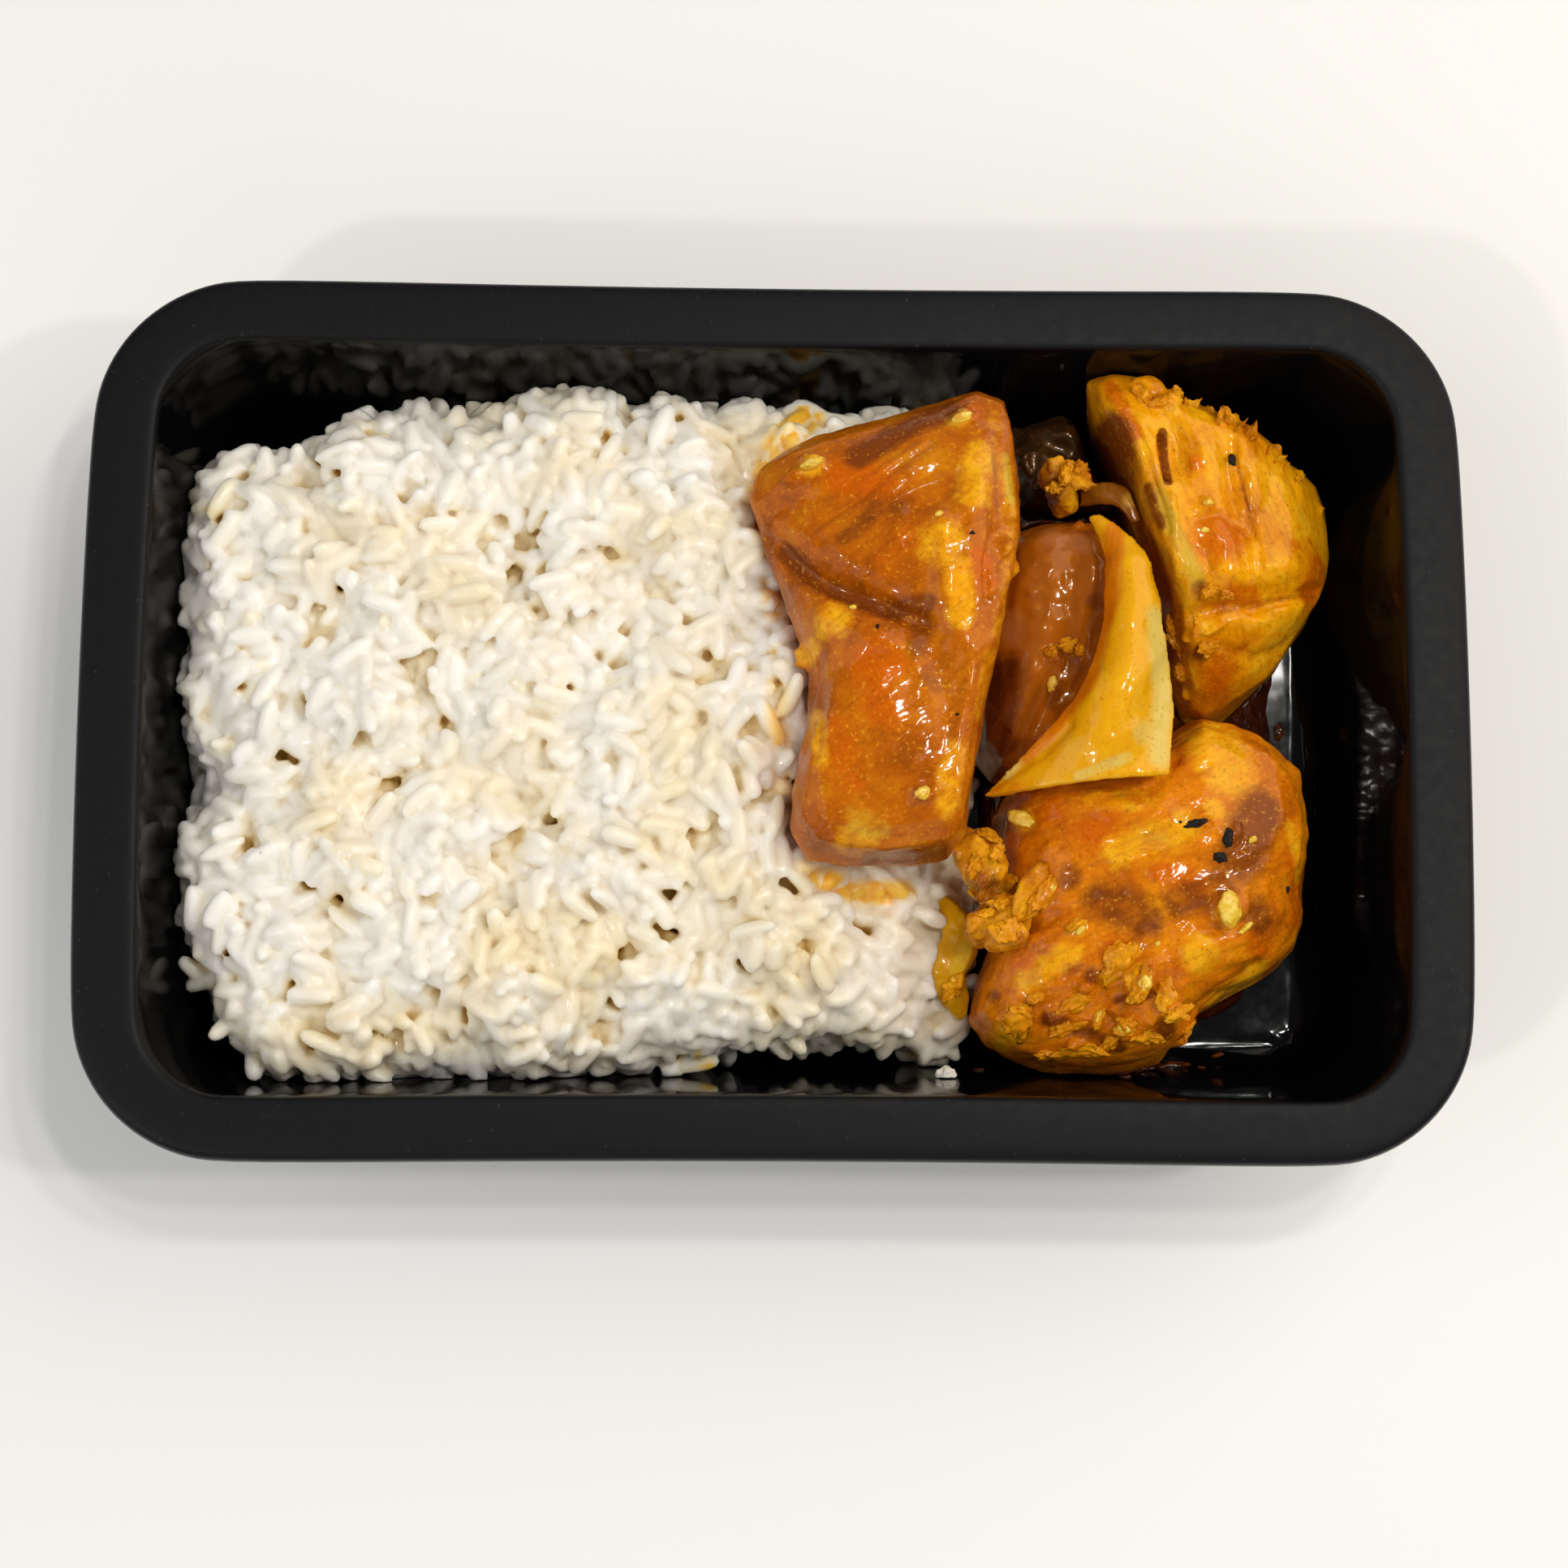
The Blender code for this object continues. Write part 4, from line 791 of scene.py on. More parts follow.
def make_rice():
    """A heap of some thousands of grains, stuck together as steamed rice is, in one skin."""
    draw = random.Random(5)
    target = copy_of("rice", "rice_target")
    core = copy_of("rice", "rice_core")
    finish_with(core, "REMESH", mode="VOXEL", voxel_size=1.4 * MM)
    finish_with(core, "SMOOTH", factor=0.6, iterations=8)
    places, normals = vertex_places(core), vertex_normals(core)
    up = np.clip(normals[:, 2], 0, 1)
    relief = np.array([clump_height(x, y) for x, y, _z in places])
    places = places - normals * ((1 - np.abs(normals[:, 2])) * 1.6 * MM)[:, None]
    places[:, 2] += up * (relief - CORE_DEPTH)
    grains, xs, ys, rim = lay_heap(target, draw)
    i = np.clip(np.round((places[:, 0] - xs[0]) / HEAP_CELL).astype(int), 0, len(xs) - 1)
    j = np.clip(np.round((places[:, 1] - ys[0]) / HEAP_CELL).astype(int), 0, len(ys) - 1)
    under = rim[i, j] > 0
    places[under, 2] = np.minimum(places[under, 2], rim[i, j][under])
    move_vertices(core, places)
    finish_with(core, "SMOOTH", factor=0.5, iterations=2)
    grains += lay_sides(core, draw)
    bpy.data.objects.remove(target, do_unlink=True)
    piece = join([grains_mesh("rice_heap", grains, draw), core])
    finish_with(piece, "REMESH", mode="VOXEL", voxel_size=GRAIN_SKIN)
    keep_outer_skin(piece)
    finish_with(piece, "SMOOTH", factor=0.4, iterations=1)
    finish_with(piece, "DECIMATE", ratio=min(1.0, MOST_RICE_TRIANGLES / (2 * len(piece.data.polygons))))
    keep_in_tray(piece)
    mark_rice(piece, grains, draw)
    wear(piece, boiled_rice(), "boiled_rice", "rice")


def keep_outer_skin(piece):
    """Removes the closed hollows inside a piece, and any crumb that hangs free of it."""
    cage = bmesh.new()
    cage.from_mesh(piece.data)
    cage.verts.ensure_lookup_table()
    seen, shells = set(), []
    for vertex in cage.verts:
        if vertex.index in seen:
            continue
        shell, edge = [], [vertex]
        seen.add(vertex.index)
        while edge:
            one = edge.pop()
            shell.append(one)
            for link in one.link_edges:
                other = link.other_vert(one)
                if other.index not in seen:
                    seen.add(other.index)
                    edge.append(other)
        shells.append(shell)
    shells.sort(key=len)
    bmesh.ops.delete(cage, geom=[vertex for shell in shells[:-1] for vertex in shell], context="VERTS")
    cage.to_mesh(piece.data)
    cage.free()


# ---- chicken ---------------------------------------------------------------------------------------------


# What the photograph shows on each chunk, in millimetres: grooves and ridges as a route with its depth and half
# width, patches as a route with its half width and strength, and lumps as x, y, radius, length share, turn and
# how far they stand out.
LEFT_CHUNK = {
    "fibre": 38, "voxel": 0.5, "relief": (7, 1.0, 1.7, 0.30),
    "grooves": [
        ([(-2, 27), (0.0, 25.6), (3.1, 22.2), (8.3, 18.6), (14.7, 16.5), (22.7, 12.8)], 1.5, 1.3),
        ([(4.9, 28.2), (12.4, 32.8), (18.7, 38.3), (23.8, 41.7)], 0.7, 0.6),
        ([(6.1, 26.2), (13.6, 29.7), (21.2, 34.3), (27.5, 36.8)], 0.6, 0.6),
        ([(7, 33), (14, 37), (21, 42)], 0.4, 0.6),
        ([(33.2, 27.4), (31.8, 22.6), (32.1, 16.3)], 0.8, 0.7),
        ([(5.7, 7.6), (6.5, 0.1), (5.5, -7.6)], 0.7, 0.9),
        ([(7, 14), (13, 11), (20, 9)], -0.8, 2.0), ([(25, 28), (26, 18), (27, 10)], -0.9, 2.6),
        ([(36, 33), (36.4, 27), (35.2, 19), (33, 10)], -0.5, 0.9),
    ],
    "gold": [
        ([(24.9, 25.4)], 4.0, 0.7), ([(33.8, 47), (34.4, 41), (35.8, 33.6), (36.3, 27.2), (35.3, 19.6), (33.1, 10.4),
                                      (30.9, -0.9)], 1.4, 0.4),
        ([(8.4, 13.4)], 3.0, 0.9), ([(4.3, 9.3)], 1.9, 1.0), ([(27.1, -7.3), (26, -15)], 2.5, 0.6),
        ([(5.7, -1.0), (6.5, -9)], 1.4, 0.6), ([(28.2, 46.1)], 1.7, 0.9), ([(4.9, 38.3)], 1.8, 1.0),
        ([(30.8, 39.4), (30, 33)], 2.6, 0.8), ([(10.2, -20.2), (14, -21)], 2.0, 0.6),
        ([(27.3, 21.2), (28, 14)], 2.2, 0.9),
    ],
    "glaze_and_shade": [
        ([(12, 39.5), (14.1, 41.0), (21.9, 45.7), (26.6, 47.9)], 2.3, 1.0),
        # Painted shade: the crease between the chunk's upper and lower blocks is darkened along its length.
        ([(1, 25), (6.1, 19.3), (11.2, 17.4), (15.8, 14.9), (22.6, 16.0)], 1.7, 1.0),
        ([(21.8, 16.0), (21.5, 8.8)], 2.0, 0.8), ([(23.8, 4.2)], 3.2, 0.6), ([(15.1, 31.0), (10.0, 26.3)], 1.6, 0.7),
        ([(15.7, -5.1)], 1.7, 0.4), ([(33.2, 40), (33.6, 33), (34.2, 27.3)], 0.5, 0.5),
        ([(14, -23.0), (20, -22.6), (27, -21.7)], 1.1, 0.9), ([(28, 4), (27, -4)], 1.6, 0.4),
    ],
    "pale": [
        ([(27.6, 46.3)], 2.0, 0.7), ([(35.2, 40), (36.0, 33)], 0.9, 0.7), ([(12.0, -17.5), (15, -19)], 2.2, 0.5),
    ],
    "ember": [
        ([(10.0, 36.0), (14.9, 35.7)], 3.2, 0.9), ([(30.6, 23.2), (31.8, 19.3)], 2.0, 0.8), ([(15.1, 6.3)], 4.4, 1.0),
        ([(15.7, 0.0)], 3.7, 0.9), ([(9.9, -3.9), (10.6, -11.4)], 3.2, 0.6), ([(30.4, 47.7)], 1.9, 0.7),
        ([(20, 26), (16, 22)], 2.5, 0.5),
    ],
    "lumps": [
        (22.0, -13.6, 1.5, 1.2, 20, 0.35), (4.9, 38.3, 1.6, 1.4, 40, 0.4), (28.5, 46.4, 1.3, 1.5, 10, 0.2),
        (11.3, 15.4, 0.7, 1.2, 0, 0.4), (4.3, 9.3, 1.7, 1.3, 80, 0.3), (36.5, 23, 1.2, 1.6, 90, 0.2),
        (35.9, 31, 0.8, 1.8, 80, 0.3), (24.5, 29.8, 0.8, 1.3, 30, 0.4), (20.0, 37.0, 0.6, 1.3, 30, 0.4),
    ],
}
UPPER_CHUNK = {
    "fibre": -68, "voxel": 0.45, "relief": (9, 0.7, 1.6, 0.12),
    "grooves": [
        ([(61.8, 46.2), (61.7, 43), (62.3, 39.2)], 3.6, 0.65),
        ([(73.4, 46.2), (73.8, 42.2), (74.9, 36.1), (76.9, 29.2), (77.5, 22.4)], 0.4, 0.5),
        ([(67, 17.4), (72, 19.0), (77.0, 19.0), (89.1, 23.5)], 1.8, 1.2),
        ([(56.5, 50), (59.8, 39.0), (62.4, 30.6)], 0.5, 0.6),
        ([(66.8, 32.4), (70.8, 33.5), (75.2, 30.0)], 0.6, 0.6),
        ([(70, 14), (78, 12), (84, 15)], 0.5, 0.8),
        ([(71, 28), (71, 23)], -1.0, 4.0), ([(81, 34), (82, 27)], -0.8, 4.5), ([(62.7, 36), (63.4, 26)], -0.7, 0.8),
    ],
    "gold": [
        ([(57.9, 44), (57.9, 40.7), (61.8, 27.8), (64.4, 22.7), (67.3, 18.0)], 1.3, 1.0),
        ([(63.9, 44), (63.9, 38)], 1.6, 1.0),
        ([(62.9, 51.5)], 1.8, 0.9), ([(79.6, 39.7)], 4.3, 1.0), ([(84.2, 33.8)], 3.4, 1.0),
        ([(81.1, 25.4)], 2.6, 0.8),
        ([(84.1, 16.6), (78, 12)], 2.4, 0.9), ([(70.4, 21.2)], 1.2, 0.9), ([(69.7, 15.9)], 1.5, 1.0),
        ([(66.2, 11.6), (67.9, 7.7)], 1.2, 1.0), ([(63.5, 34.9)], 1.3, 0.9), ([(70, 46), (70.5, 40)], 2.2, 0.8),
    ],
    "glaze_and_shade": [
        ([(67.3, 21.3)], 1.7, 0.8), ([(64.7, 55.3), (71.8, 50.0)], 0.9, 0.8), ([(59.2, 38), (61.2, 31.3)], 0.7, 0.9),
        ([(68.5, 12.5)], 1.7, 0.9), ([(74.5, 52.0), (85.0, 43.9)], 0.8, 0.6),
        ([(63.7, 18.5), (62.1, 23.0)], 1.0, 0.9),
        # Painted shade: the slot, the crease over the lower lobe and the thin crease down the middle are darkened
        # along their length.
        ([(61.8, 47), (62.2, 38.5)], 0.7, 1.6), ([(71, 18.6), (88, 22.8)], 0.6, 0.6),
        ([(73.8, 43), (76.8, 30)], 0.3, 0.6),
        # Painted shade: the steep left face, turned away from the light, is darkened all over.
        ([(52, 46), (54, 34), (58, 24), (61, 14)], 4.2, 1.6),
    ],
    "pale": [([(60.6, 36.5), (63.2, 30.0), (66.8, 22.6)], 1.5, 0.75), ([(61.2, 38.5)], 1.6, 0.5)],
    "ember": [
        ([(70.2, 30.0)], 4.6, 1.0), ([(71.5, 20.2), (76, 21)], 2.0, 0.8), ([(86.6, 22.7), (88.5, 27)], 2.2, 0.9),
        ([(53.8, 55.1), (57, 46)], 1.4, 0.9), ([(72.3, 9.2)], 3.1, 0.9), ([(67.1, 41.8)], 1.5, 0.8),
        ([(83.6, 29.9)], 1.3, 0.8), ([(76.8, 20.5)], 2.0, 0.6),
    ],
    "lumps": [
        (62.5, 52.4, 1.8, 1.4, 20, 0.3), (68.5, 35.1, 0.9, 1.2, 0, 0.4), (69.7, 16.2, 1.4, 1.4, 20, 0.3),
        (66.6, 10.4, 1.0, 1.7, 80, 0.3), (67.6, 7.4, 0.9, 1.3, 60, 0.3), (73.5, 21.0, 0.7, 1.2, 0, 0.4),
        (70.3, 24.0, 0.8, 1.2, 0, 0.3), (66.0, 15.0, 0.8, 1.4, 50, 0.3),
        (74.2, 50.6, 0.9, 1.8, 70, 0.6), (77.2, 49.0, 0.7, 2.2, 40, 0.5), (81.5, 46.5, 0.8, 1.6, 20, 0.3),
        (85.8, 42.6, 0.8, 1.8, 60, 0.3), (70.0, 51.6, 0.8, 1.5, 80, 0.3), (89.5, 37.5, 0.7, 1.6, 20, 0.2),
    ],
}
LOWER_CHUNK = {
    "fibre": 25, "voxel": 0.5, "relief": (6, 1.0, 1.5, 0.35),
    "grooves": [
        ([(34, -33), (42, -32), (50, -28)], 0.9, 1.2), ([(66, -47), (70, -43), (77, -38)], 0.7, 1.0),
        ([(63.4, -6.5), (60, -10), (52, -11.5)], 0.6, 0.9), ([(52, -44), (50, -40), (46, -40)], 0.9, 1.0),
        ([(62, -37), (66, -33), (72, -33)], 0.5, 1.2), ([(55, -22), (62, -20), (68, -16)], 0.5, 0.8),
        ([(57.8, -19.5)], -0.8, 5.0), ([(69, -4)], -0.9, 4.5), ([(66.8, -36.7)], -0.8, 2.8), ([(78, -28)], -0.6, 3.0),
        ([(43, -38)], -0.9, 3.4),
    ],
    "gold": [
        ([(69.8, -3.0), (72, -8)], 4.4, 1.0), ([(69.2, -13.9)], 1.9, 1.0),
        ([(54, -20.5), (59, -19), (64, -17.5)], 3.0, 0.8),
        ([(50.5, -12.4), (59.3, -12.6)], 2.3, 0.5), ([(66.8, -36.7)], 3.0, 1.0),
        ([(46.3, -36.7), (39.8, -41.1)], 2.1, 0.8),
        ([(71.6, -43.5), (78.0, -38.9)], 1.8, 0.9), ([(75.3, -18.8)], 0.8, 1.0), ([(47.8, -33.0)], 1.3, 0.9),
        ([(37.9, -48.6)], 2.6, 0.9), ([(82.0, -16.4), (84.4, -23.5)], 1.3, 0.6), ([(71.1, -30.0)], 2.3, 1.0),
        ([(39.4, -14.9)], 1.9, 1.0), ([(56.4, -40.5)], 2.0, 0.9), ([(42, -27.5), (40, -30)], 1.9, 0.8),
    ],
    "glaze_and_shade": [
        ([(76.4, -14.6), (73, -22)], 4.4, 1.0), ([(51.8, -28.5), (57.7, -31.5)], 4.2, 0.8),
        ([(46.4, -24.7)], 2.4, 0.8),
        ([(76.5, -30.8)], 3.3, 0.9), ([(49.7, -40.4)], 1.4, 1.0), ([(35.2, -43.1)], 1.2, 0.9),
        ([(62.2, -48.7)], 2.1, 1.0),
        ([(36.2, -14.7), (33, -22)], 1.9, 1.0), ([(63.0, -28.6), (70, -26)], 3.3, 0.8),
        # Painted shade: the near bottom edge and the crevice among the torn bits by it are darkened.
        ([(43.2, -46.8), (55.0, -51.2)], 1.3, 0.9), ([(54, -44), (60, -43)], 0.9, 0.9),
    ],
    "ember": [
        ([(50.9, -17.1)], 4.3, 0.9), ([(83.2, -21.4), (84, -30)], 1.8, 0.9),
        ([(60.4, -24.2), (66.8, -26.1)], 1.8, 0.9),
        ([(76.8, -34.5)], 2.6, 1.0), ([(39.2, -38.6)], 2.8, 0.8), ([(52.9, -36.2)], 2.5, 0.7),
        ([(67.5, -47.7)], 2.3, 0.8),
        ([(63.4, -6.5)], 1.2, 0.8), ([(44, -14)], 2.5, 0.8),
    ],
    "lumps": [
        (71.1, -30.0, 2.1, 1.15, 100, 0.3), (39.4, -14.9, 1.6, 1.5, -20, 0.3), (40.1, -28.9, 2.2, 1.4, 60, 0.4),
        (36.3, -31.5, 1.6, 1.4, 20, 0.5), (42.6, -27.0, 1.9, 1.6, 70, 0.5), (56.4, -42.0, 2.1, 1.5, 80, 0.4),
        (54.8, -44.5, 1.5, 1.5, 40, 0.4), (56.0, -48.8, 1.5, 1.4, 0, 0.3), (45.8, -45.7, 1.6, 1.9, 25, 0.3),
        (51.3, -46.9, 0.9, 2.0, 70, 0.5), (38.5, -47.4, 2.1, 1.4, 140, 0.3), (58.6, -40.0, 1.2, 1.8, 100, 0.5),
        (61.9, -45.0, 1.6, 1.5, 130, 0.4), (59.5, -47.0, 1.4, 1.5, 30, 0.3), (48.5, -50.4, 1.5, 1.6, 15, 0.2),
        (75.3, -18.8, 0.6, 1.4, 30, 0.4), (47.8, -33.0, 0.8, 1.6, 30, 0.4), (73.8, -32.4, 0.8, 1.8, 40, 0.3),
        (51.0, -34.0, 0.6, 1.4, 0, 0.4), (65.5, -49.5, 1.1, 1.6, 0, 0.2), (43.5, -19.5, 0.6, 1.5, 60, 0.4),
    ],
}


def make_chunk(node, form, colours, draw):
    """One chunk of chicken: the solid's shape with its torn lumps, fibres, grooves and sauce."""
    piece = copy_of(node, node + "_piece")
    add_lumps(piece, form["lumps"], draw)
    finish_with(piece, "REMESH", mode="VOXEL", voxel_size=form["voxel"] * MM)
    finish_with(piece, "SMOOTH", factor=0.5, iterations=form.get("smooth", 3))
    broad, broad_high, fine, fine_high = form["relief"]
    ripple(piece, broad * MM, broad_high * MM, stretch=(1.8, 1, 1.2), turn=form["fibre"])
    ripple(piece, fine * MM, fine_high * MM, stretch=(5, 1, 2), turn=form["fibre"], place=(0.01, 0, 0))
    press_routes(piece, form["grooves"])
    keep_in_tray(piece)
    for layer in ("gold", "pale", "glaze_and_shade", "ember"):
        paint(piece, layer, form.get(layer, []))
    wear(piece, curried_meat(node.replace("chicken", "curried_chicken"), -form["fibre"], colours),
         "curried_chicken", node)


def make_chicken():
    draw = random.Random(8)
    make_chunk("chicken_left", LEFT_CHUNK, ("#8a4206", "#ac5404", "#bc6405", "#c87a08"), draw)
    make_chunk("chicken_upper", UPPER_CHUNK, ("#b86404", "#dc8804", "#ea9c04", "#f2ae0e"), draw)
    make_chunk("chicken_lower", LOWER_CHUNK, ("#a04e08", "#c86a06", "#d97c08", "#e6920c"), draw)
    for node, x, y in (("chicken_shreds_near", 36, -27), ("chicken_shreds_far", 46, 39)):
        form = {
            "fibre": 40, "voxel": 0.35, "relief": (2.6, 1.7, 1.0, 0.5), "grooves": [], "smooth": 1,
            "gold": [([(x + 3, y - 4), (x - 2, y + 8)], 2.5, 0.9)], "glaze_and_shade": [([(x - 2, y)], 4, 0.8)],
            "ember": [([(x + 2, y + 3)], 3, 0.6)],
            "lumps": [(x + draw.uniform(-4, 4), y + draw.uniform(-3, 3), draw.uniform(0.9, 1.6), draw.uniform(1.2, 2),
                       draw.uniform(0, 180), draw.uniform(0.1, 0.5)) for _ in range(4)],
        }
        make_chunk(node, form, ("#8e4a0a", "#b8690a", "#cf850e", "#dc9c16"), draw)


# ---- onion and gravy -------------------------------------------------------------------------------------


def mark_veins(piece, tip, pitch):
    """Marks veins that fan out from a tip, a pitch of so many degrees apart."""
    away = vertex_places(piece)[:, :2] - np.array(tip) * MM
    mark(piece, "vein", np.degrees(np.arctan2(away[:, 1], away[:, 0])) / pitch)
    mark(piece, "along", np.linalg.norm(away, axis=1) / (14 * MM))


# Each onion piece: the tip of its veins, their pitch in degrees, colours, grooves, patches and bits, as for the meat.
ONION_PIECES = {
    "onion_petal": {
        "tip": (55.5, 42.0), "pitch": 1.8, "colours": ("#e4a80c", "#dcc262", "#d47604"), "voxel": 0.4, "relief": 0.5,
        "grooves": [([(46, -1.5), (41, -6), (34, -10)], 0.6, 0.9), ([(55.5, 24), (55, 10), (51, -3)], -1.9, 4.4)],
        "clear": [([(59.6, 16), (60.8, 4), (60, -6)], 1.9, 1.0), ([(58.0, -2.6)], 2.4, 0.8),
                  ([(55, -6.5), (47, -9.6)], 0.9, 0.8), ([(41.2, -3.5), (36.5, -8.5)], 0.9, 0.8)],
        "stain": [([(53.6, 31), (52.2, 18), (48.6, 6), (44.1, -0.5), (39.6, -5.5)], 1.6, 1.0),
                  ([(54.3, 32)], 1.8, 0.5), ([(33, -10.5), (38, -11)], 1.4, 0.6)],
        "lumps": [],
    },
    "onion_heart": {
        "tip": (48, 46), "pitch": 9.0, "colours": ("#ac5c0a", "#b4703a", "#5c2408"), "voxel": 0.45, "relief": 1.0,
        "grooves": [([(44, 8), (41, 2), (39, -4)], 0.9, 1.2), ([(38, 28), (37, 20)], 0.5, 1.0)],
        "clear": [([(44.3, 31), (49, 30)], 2.2, 0.8), ([(38, 18), (38.5, 15)], 2.2, 0.6)],
        # The heart is coloured darkest along its low left side, where it meets the left chunk.
        "stain": [([(37, 9), (36, 0), (35, -5)], 3.2, 1.0), ([(48, 10), (45, 4)], 2.0, 0.7), ([(51, 20)], 1.6, 0.7)],
        "lumps": [(44.2, 11.6, 1.4, 1.3, 20, 0.4), (47.2, 13.0, 1.0, 1.3, 60, 0.4), (44.4, 6.9, 0.9, 1.7, 80, 0.5),
                  (41.0, 21.5, 0.7, 1.2, 0, 0.3), (49.0, 33.0, 1.0, 1.4, 30, 0.3)],
    },
    # The back onion lies in shade behind the chunks: its colours are painted shade, all near black brown.
    "onion_back": {
        "tip": (40, 60), "pitch": 4.0, "colours": ("#3a2410", "#5a4a20", "#1e0e06"), "voxel": 0.5, "relief": 0.6,
        "grooves": [], "clear": [([(38, 54), (46, 55), (56, 53)], 1.2, 0.9)], "stain": [([(50, 42)], 4, 0.8)],
        "lumps": [(41, 46, 1.6, 1.5, 100, 0.6), (43.5, 42, 1.2, 1.4, 60, 0.6), (40, 51, 1.2, 1.6, 90, 0.4)],
    },
    "onion_curl": {
        "tip": (30, -60), "pitch": 6.0, "colours": ("#d0960c", "#e4bc30", "#9a5808"), "voxel": 0.3, "relief": 0.5,
        "grooves": [], "clear": [([(30, -38), (32, -33)], 1.6, 0.9)], "stain": [([(27, -44)], 2, 0.6)], "lumps": [],
    },
    "onion_strip": {
        "tip": (54, 20), "pitch": 6.0, "colours": ("#8e5208", "#c89a3a", "#5c2c06"), "voxel": 0.3, "relief": 0.5,
        "grooves": [], "clear": [([(57, 37)], 1.4, 0.9)], "stain": [([(51, 37)], 2, 0.6)], "lumps": [],
    },
}


def make_onion():
    draw = random.Random(3)
    for node, form in ONION_PIECES.items():
        piece = copy_of(node, node + "_piece")
        add_lumps(piece, form["lumps"], draw)
        finish_with(piece, "REMESH", mode="VOXEL", voxel_size=form["voxel"] * MM)
        finish_with(piece, "SMOOTH", factor=0.5, iterations=4)
        ripple(piece, 5 * MM, form["relief"] * MM)
        press_routes(piece, form["grooves"])
        keep_in_tray(piece)
        mark_veins(piece, form["tip"], form["pitch"])
        paint(piece, "clear", form["clear"])
        paint(piece, "stain", form["stain"])
        wear(piece, stewed_onion("stewed_" + node, *form["colours"]), "stewed_onion", node)


def make_gravy():
    draw = random.Random(4)
    piece = copy_of("curry_gravy", "curry_gravy_piece")
    add_lumps(piece, [(37, 2, 1.2, 1.5, 30, 0.4), (39, 44, 1.4, 1.5, 60, 0.4)], draw)
    finish_with(piece, "REMESH", mode="VOXEL", voxel_size=0.6 * MM)
    finish_with(piece, "SMOOTH", factor=0.5, iterations=4)
    ripple(piece, 4 * MM, 0.8 * MM)
    keep_in_tray(piece)
    wear(piece, curry_gravy(), "curry_gravy", "curry_gravy")


# ---- small things ----------------------------------------------------------------------------------------


# Small things by the piece that carries them, in millimetres: x, y, half length, half width, height and turn.
BURNT_FLECKS = [
    ("chicken_left", [
        (15.0, 12.1, 0.45, 0.25, 0.2, 80), (29.6, 26.8, 0.35, 0.3, 0.2, 0), (27.4, -1.3, 0.3, 0.22, 0.2, 0),
    ]),
    ("chicken_upper", [(73.2, 42.9, 1.0, 0.55, 0.4, 110)]),
    ("chicken_lower", [
        (66.1, -16.3, 1.6, 0.75, 0.4, 12), (71.2, -18.6, 1.5, 0.8, 0.4, 80), (69.8, -21.7, 1.1, 0.9, 0.4, 10),
        (81.9, -26.0, 0.5, 0.35, 0.3, 100), (54.1, -38.7, 0.35, 0.3, 0.3, 0), (63.6, -16.2, 0.25, 0.2, 0.2, 0),
    ]),
]
GARLIC_CHIPS = [
    ("chicken_lower", [
        (71.1, -30.0, 2.9, 2.1, 0.9, 112), (39.4, -14.9, 2.3, 1.3, 0.8, -20), (75.2, -18.8, 0.8, 0.5, 0.4, 30),
        (74.2, -32.6, 1.5, 0.5, 0.4, 40), (47.9, -33.2, 1.0, 0.5, 0.4, 50), (57.6, -41.4, 1.9, 1.2, 0.9, 80),
        (55.4, -48.4, 1.3, 0.9, 0.7, 10), (51.2, -46.6, 1.2, 0.5, 0.6, 75), (40.8, -29.6, 1.3, 1.0, 0.9, 30),
        (43.4, -26.6, 1.5, 0.8, 0.8, 60),
    ]),
    ("chicken_left", [
        (22.0, -13.6, 1.4, 1.0, 0.6, 20), (4.9, 38.3, 1.9, 1.1, 0.6, 35), (28.4, 46.2, 1.6, 0.9, 0.5, 20),
        (24.5, 29.8, 0.7, 0.5, 0.4, 30), (11.3, 15.4, 0.6, 0.45, 0.4, 0),
    ]),
    ("chicken_upper", [(68.5, 35.1, 0.8, 0.6, 0.4, 0), (68.0, 30.6, 0.7, 0.5, 0.3, 0)]),
    ("onion_heart", [(44.4, 6.9, 1.3, 0.8, 0.7, 80)]),
    ("chicken_lower", [(52.6, -36.6, 0.6, 0.4, 0.3, 0), (60.2, -35.2, 0.5, 0.4, 0.3, 20)]),
]
